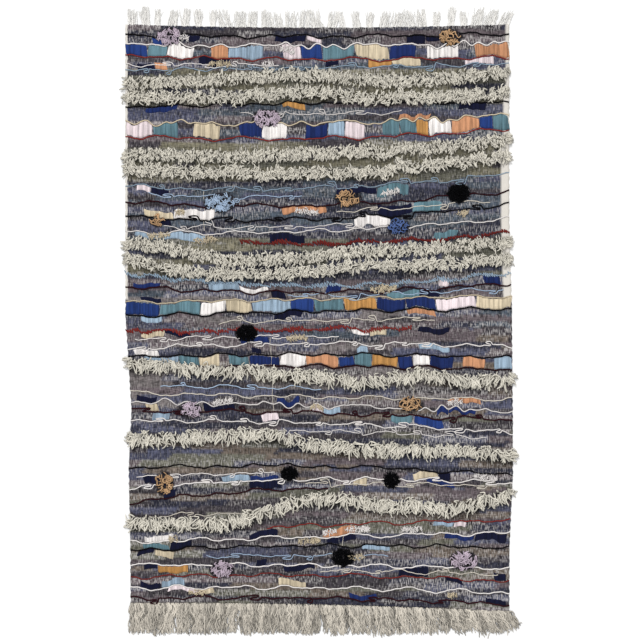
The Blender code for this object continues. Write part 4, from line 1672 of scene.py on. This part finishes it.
@dataclass
class Tuft:
    """One hooked tuft: thick curled yarns that lie like worms, with painted shade dark in the gaps, or a cut
    pompom.
    """

    node: bpy.types.Object
    slot: str
    finishes: Finishes
    tree: PileTree
    seed: int

    DYES = {"lilac": Dye.LILAC, "tan": Dye.TAN, "sky": Dye.SKY, "blue": Dye.BLUE, "black": Dye.COAL}
    LOOPED = ("lilac", "sky")

    # The height of the roots, how high a pompom's ends and a worm's layers stand over them, and the share of
    # the solid's half width that the roots keep to.
    BASE = 0.0068
    CROWN = 0.011
    LAYERS = 0.008
    SPAN = 0.84

    def _cut_end(self, turn: float, out: float, spread: random.Random) -> dict[str, float]:
        """Returns how one end of a pompom stands, at a turn and a share of the way out."""
        return {
            "heading": turn + spread.gauss(0, 1.4),
            "reach": spread.uniform(0.005, 0.013),
            "lift": spread.uniform(0.0, 0.003),
            "curl": spread.uniform(-0.003, 0.003),
            "land": self.BASE + self.CROWN * (1 - out * out) * spread.uniform(0.6, 1.2),
            "tone": spread.random(),
        }

    def _worm(self, out: float, spread: random.Random) -> dict[str, float]:
        """Returns how one curled yarn lies, at a share of the way out."""
        layer = spread.random()
        looped = self.slot in self.LOOPED and spread.random() < 0.5
        if looped:
            heading = spread.choice((-1, 1)) * math.pi / 2 + spread.gauss(0, 0.7)
        else:
            heading = spread.uniform(0, 6.28)
        return {
            "heading": heading,
            "reach": spread.uniform(0.014, 0.026),
            "lift": spread.uniform(0.001, 0.003),
            "curl": spread.choice((-1, 1)) * (0.0045 if looped else spread.uniform(0.004, 0.009)),
            "land": self.BASE + layer * self.LAYERS * (1 - out * 0.6),
            "loop": float(looped),
            # Most of the tone is painted shade: the lower a worm lies, the darker it is.
            "tone": 0.65 * layer + 0.35 * spread.random(),
        }

    def build(self) -> bpy.types.Object:
        """Grows the tuft over its solid's plan."""
        spread = random.Random(self.seed)
        low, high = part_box(self.node.name)
        middle, half = (low + high) / 2, (high - low) / 2
        cut = self.slot == "black"
        yarn = CUT_YARN if cut else HOOKED_YARN
        roots = Roots()
        for _ in range(round(4 * half.x * half.y * yarn.density)):
            turn, out = spread.uniform(0, 2 * math.pi), math.sqrt(spread.random())
            values = self._cut_end(turn, out, spread) if cut else self._worm(out, spread)
            x = middle.x + half.x * self.SPAN * out * math.cos(turn)
            y = middle.y + half.y * self.SPAN * out * math.sin(turn)
            if not cut:
                x -= math.cos(values["heading"]) * values["reach"] / 2
                y -= math.sin(values["heading"]) * values["reach"] / 2
            roots.add(x, y, self.BASE if cut else values["land"], girth=spread.uniform(0.85, 1.15), **values)
        # Painted shade on the yarns' sides, and a little at their roots.
        finish = WoolYarn(self.DYES[self.slot], dark=0.13, light=1.16, shaded=0.1, side_shade=0.55)
        tuft = self.tree.run(
            f"pile_{self.node.name}", roots.mesh(), self.finishes.of(finish),
            Radius=yarn.radius, Points=yarn.points, Sides=4, Waves=1.3,
            Kink=0.004, Kink_Size=0.015, Taper=yarn.taper,
        )
        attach(tuft, BODY)
        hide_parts(self.node.name)
        return tuft


@dataclass
class FuzzyPatches:
    """Small patches of short pale wool that is hooked into the lanes and stands a little proud."""

    plan: RugPlan
    finishes: Finishes
    tree: PileTree
    dye: Dye
    count: int
    seed: int

    # The lanes that take a patch, by their height, and a patch: its half width as a share across, its half
    # height in metres, and its roots for each share of half width.
    LANE_ROOM = (0.022, 0.09)
    HALF_SPAN = (0.012, 0.030)
    HALF_HEIGHT = 0.011
    ROOTS = 3400

    # How high the lowest roots stand over the cloth, in metres.
    RISE = 0.0014

    def build(self) -> bpy.types.Object:
        """Grows all patches of one colour as one object."""
        spread = random.Random(self.seed)
        rooms = [below.bow.middle - above.bow.middle for above, below in zip(COURSES, COURSES[1:])]
        lanes = [lane for lane, room in enumerate(rooms) if self.LANE_ROOM[0] < room < self.LANE_ROOM[1]]
        roots = Roots()
        base = self.plan.thick + self.RISE
        for _ in range(self.count):
            lane = spread.choice(lanes)
            above, below = COURSES[lane], COURSES[lane + 1]
            middle, half = spread.uniform(0.05, 0.95), spread.uniform(*self.HALF_SPAN)
            side = spread.uniform(0.25, 0.75)
            for _ in range(round(half * self.ROOTS)):
                share = middle + spread.uniform(-1, 1) * half
                height = self.HALF_HEIGHT * max(0.0, 1 - ((share - middle) / half) ** 2) ** 0.5
                drop = above.drop(share) * (1 - side) + below.drop(share) * side
                x, y = self.plan.place(share, drop + spread.uniform(-1, 1) * height)
                layer = spread.random()
                roots.add(
                    float(x),
                    float(y),
                    base + layer * 0.003,
                    heading=spread.choice((-1, 1)) * math.pi / 2 + spread.gauss(0, 0.6),
                    reach=spread.uniform(0.005, 0.012),
                    lift=spread.uniform(0.001, 0.003),
                    land=base + layer * 0.002,
                    curl=spread.uniform(-0.002, 0.002),
                    girth=spread.uniform(0.8, 1.2),
                    # The tone is painted shade: the lower a yarn lies, the darker it is.
                    tone=layer,
                )
        # Painted shade at the yarns' roots and on their sides.
        finish = WoolYarn(self.dye, dark=0.6, shaded=0.15)
        patches = self.tree.run(
            f"fuzz_{self.dye.name.lower()}", roots.mesh(), self.finishes.of(finish),
            Radius=0.0016, Points=4, Sides=4, Waves=1.0, Kink=0.002, Kink_Size=0.01, Taper=0.3,
        )
        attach(patches, BODY)
        return patches


@dataclass(frozen=True)
class FringeSize:
    """How a fringe's yarns are grouped and how they lie. Lengths are in metres.

    Side is 1 for the upper end and -1 for the lower. The reach and the lean are given at the left and the
    right end, short is the least share of the reach, and the width is a group's share of its room. Streaks is
    how far the locks differ in tone.
    """

    side: int
    groups: int
    yarns: int
    radius: float
    reach: tuple[float, float]
    short: float
    uneven: float
    width: tuple[float, float]
    gather: float
    lean: tuple[float, float]
    sway: float
    curl: float
    kink: float
    points: int
    streaks: float = 0.0


TOP_FRINGE = FringeSize(
    side=1, groups=29, yarns=30, radius=0.0014, reach=(0.086, 0.082), short=0.62, uneven=0.26,
    width=(0.32, 1.15), gather=0.15, lean=(-0.03, 0.28), sway=0.16, curl=0.003, kink=0.006, points=6,
)
BOTTOM_FRINGE = FringeSize(
    side=-1, groups=60, yarns=24, radius=0.0028, reach=(0.138, 0.122), short=0.76, uneven=0.10,
    width=(1.1, 1.5), gather=0.0, lean=(0.0, 0.72), sway=0.10, curl=0.012, kink=0.016, points=8, streaks=0.80,
)


@dataclass
class Fringe:
    """One end fringe: groups of loose yarns that leave the cloth's end and lie on the floor."""

    node: bpy.types.Object
    plan: RugPlan
    finishes: Finishes
    tree: PileTree
    finish: WoolYarn
    size: FringeSize
    seed: int

    # How wide a lock of one tone is, in metres, and how close to a selvage the last yarn stands, as a share.
    LOCK_WIDTH = 0.008
    LAST_YARN = 0.002

    # How high its roots and its ends are stacked, and how far its roots stand on to the cloth and off it.
    STACK = 0.0028
    END_STACK = 0.0022
    FOOT = (-0.004, 0.003)

    def _lock(self, share: float) -> float:
        """Returns the tone of the lock at a share across, round 0."""
        return random.Random(round(share * 2 * HALF_WIDTH / self.LOCK_WIDTH)).random() - 0.5

    def build(self) -> bpy.types.Object:
        """Grows the fringe from the cloth's end."""
        spread = random.Random(self.seed)
        size, roots = self.size, Roots()
        end = self.plan.upper if size.side > 0 else self.plan.hem
        foot = size.radius * 1.2
        for group in range(size.groups):
            centre = (group + 0.5 + spread.uniform(-0.12, 0.12)) / size.groups
            lean = size.lean[0] + (size.lean[1] - size.lean[0]) * centre**3
            lean += spread.gauss(0, size.sway) * min(1.0, group / 4)
            full = size.reach[0] + (size.reach[1] - size.reach[0]) * centre
            full *= 1 - size.uneven * spread.random()
            width = spread.uniform(*size.width) / size.groups
            for _ in range(size.yarns):
                share = centre + spread.uniform(-0.5, 0.5) * width
                share = min(1 - self.LAST_YARN, max(self.LAST_YARN, share))
                x, y = self.plan.place(share, float(end(share)))
                reach = full * (1 - (1 - size.short) * spread.random() ** 1.6)
                drift = (centre - share) * 2 * HALF_WIDTH * size.gather
                slant = math.atan(max(lean + drift / reach + spread.gauss(0, 0.10), -12 * share))
                layer = spread.random()
                roots.add(
                    float(x),
                    float(y) + size.side * spread.uniform(*self.FOOT),
                    foot + layer * self.STACK,
                    heading=size.side * (math.pi / 2 - slant),
                    reach=reach * math.cos(slant),
                    lift=spread.uniform(0.0, 0.002),
                    land=foot + layer * self.END_STACK,
                    curl=spread.uniform(-1, 1) * size.curl,
                    girth=spread.uniform(0.75, 1.2),
                    # A quarter of the tone is painted shade, darker for the lower yarns; the rest is random
                    # and the lock's own tone.
                    tone=0.25 * layer + 0.75 * spread.random() + size.streaks * self._lock(share),
                )
        fringe = self.tree.run(
            f"yarns_{self.node.name}", roots.mesh(), self.finishes.of(self.finish),
            Radius=size.radius, Points=size.points, Sides=4, Waves=2.4,
            Kink=size.kink, Kink_Size=0.022, Taper=0.4,
        )
        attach(fringe, BODY)
        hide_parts(self.node.name)
        return fringe


@dataclass
class Studio:
    """The plain floor, the soft lights and the camera straight above, in the photograph's frame."""

    plan: RugPlan
    finishes: Finishes
    lens: float = 85.0
    sensor: float = 36.0
    floor_reach: float = 60.0
    sky: float = 0.60

    def _floor(self) -> None:
        """Lays the floor."""
        corners = np.array([(-1, -1, 0), (1, -1, 0), (1, 1, 0), (-1, 1, 0)]) * self.floor_reach
        mesh = mesh_of("floor", corners, [(0, 1, 2, 3)])
        floor = add_object("floor", mesh, self.finishes.of(PlainFloor()))

    def _camera(self) -> None:
        """Looks straight down, so that one pixel is as large as in the photograph."""
        left = float(self.plan.sides(0.0)[0])
        middle_px = PHOTO_SIDE_PX / 2
        x = left + (middle_px - CLOTH_LEFT_PX) * METRES_PER_PX
        y = self.plan.top - (middle_px - CLOTH_TOP_PX) * METRES_PER_PX
        data = bpy.data.cameras.new("camera")
        data.lens, data.sensor_width = self.lens, self.sensor
        camera = bpy.data.objects.new("camera", data)
        camera.location = (x, y, PHOTO_SIDE_PX * METRES_PER_PX * self.lens / self.sensor)
        bpy.context.scene.collection.objects.link(camera)
        bpy.context.scene.camera = camera

    def _sun(self, name: str, source: Colour, angle: float, strength: float) -> None:
        """Adds an even soft light.

        Args:
            name: its name.
            source: a place that it shines from, towards the origin.
            angle: how wide it looks, in degrees, which softens its shadows.
            strength: its strength in watts for each square metre.
        """
        data = bpy.data.lights.new(name, "SUN")
        data.angle, data.energy = math.radians(angle), strength
        light = bpy.data.objects.new(name, data)
        light.rotation_euler = (-Vector(source)).to_track_quat("-Z", "Y").to_euler()
        bpy.context.scene.collection.objects.link(light)

    def build(self) -> None:
        """Sets up the studio."""
        scene = bpy.context.scene
        self._floor()
        self._camera()
        self._sun("key", (-1.2, 3.0, 3.8), 26, 2.3)
        self._sun("fill", (2.0, -1.0, 4.4), 90, 0.5)
        scene.world = bpy.data.worlds.new("studio")
        scene.world.use_nodes = True
        back = scene.world.node_tree.nodes["Background"]
        back.inputs["Color"].default_value = (1, 1, 1, 1)
        back.inputs["Strength"].default_value = self.sky
        scene.view_settings.view_transform = "Standard"


def main() -> None:
    """Builds the dhurrie's looks piece by piece."""
    logging.basicConfig(level=logging.INFO, format="%(name)s: %(message)s")
    for obj in list(bpy.data.objects):
        bpy.data.objects.remove(obj)
    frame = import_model()
    nodes = frame["nodes"]
    slots = {part["node"]: part["material_slot"] for part in frame["record"]["subparts"]}
    tufts = sorted(name for name in nodes if name.startswith("tuft_"))
    plan = RugPlan(nodes["cloth"])
    finishes = Finishes()
    Studio(plan, finishes).build()
    cloth = Ground(plan, finishes, shaded=tufts).build()
    pieces = Blocks(plan, finishes).build()
    pieces += Outlines(plan, finishes, OutlineTree(), tufts).build()
    tree = PileTree()
    for seed, (name, pile) in enumerate(PILES.items()):
        pieces.append(ShagRow(nodes[name], plan, finishes, tree, pile, 40 + seed).build())
    for seed, name in enumerate(tufts):
        pieces.append(Tuft(nodes[name], slots[name], finishes, tree, 70 + seed).build())
    pieces.append(FuzzyPatches(plan, finishes, tree, Dye.CREAM, 14, 121).build())
    pieces.append(FuzzyPatches(plan, finishes, tree, Dye.WHITE, 12, 122).build())
    # Its roots are painted lighter, and its sides take a little painted shade.
    pale = WoolYarn(Dye.CHALK, dark=0.66, light=1.02, shaded=-0.4, side_shade=0.15)
    pieces.append(Fringe(nodes["fringe_top"], plan, finishes, tree, pale, TOP_FRINGE, 101).build())
    # No painted shade at the roots, and strong painted shade on the sides.
    grey = WoolYarn(Dye.GREIGE, dark=0.07, light=1.24, shaded=0.0, side_shade=0.66)
    pieces.append(Fringe(nodes["fringe_bottom"], plan, finishes, tree, grey, BOTTOM_FRINGE, 102).build())
    total = 0
    for piece in [cloth, *pieces]:
        count = sum(len(polygon.vertices) - 2 for polygon in piece.data.polygons)
        total += count
        LOG.info("%s: %d triangles", piece.name, count)
    LOG.info("%d pieces, %d triangles in all", len(pieces) + 1, total)


if __name__ == "__main__":
    main()
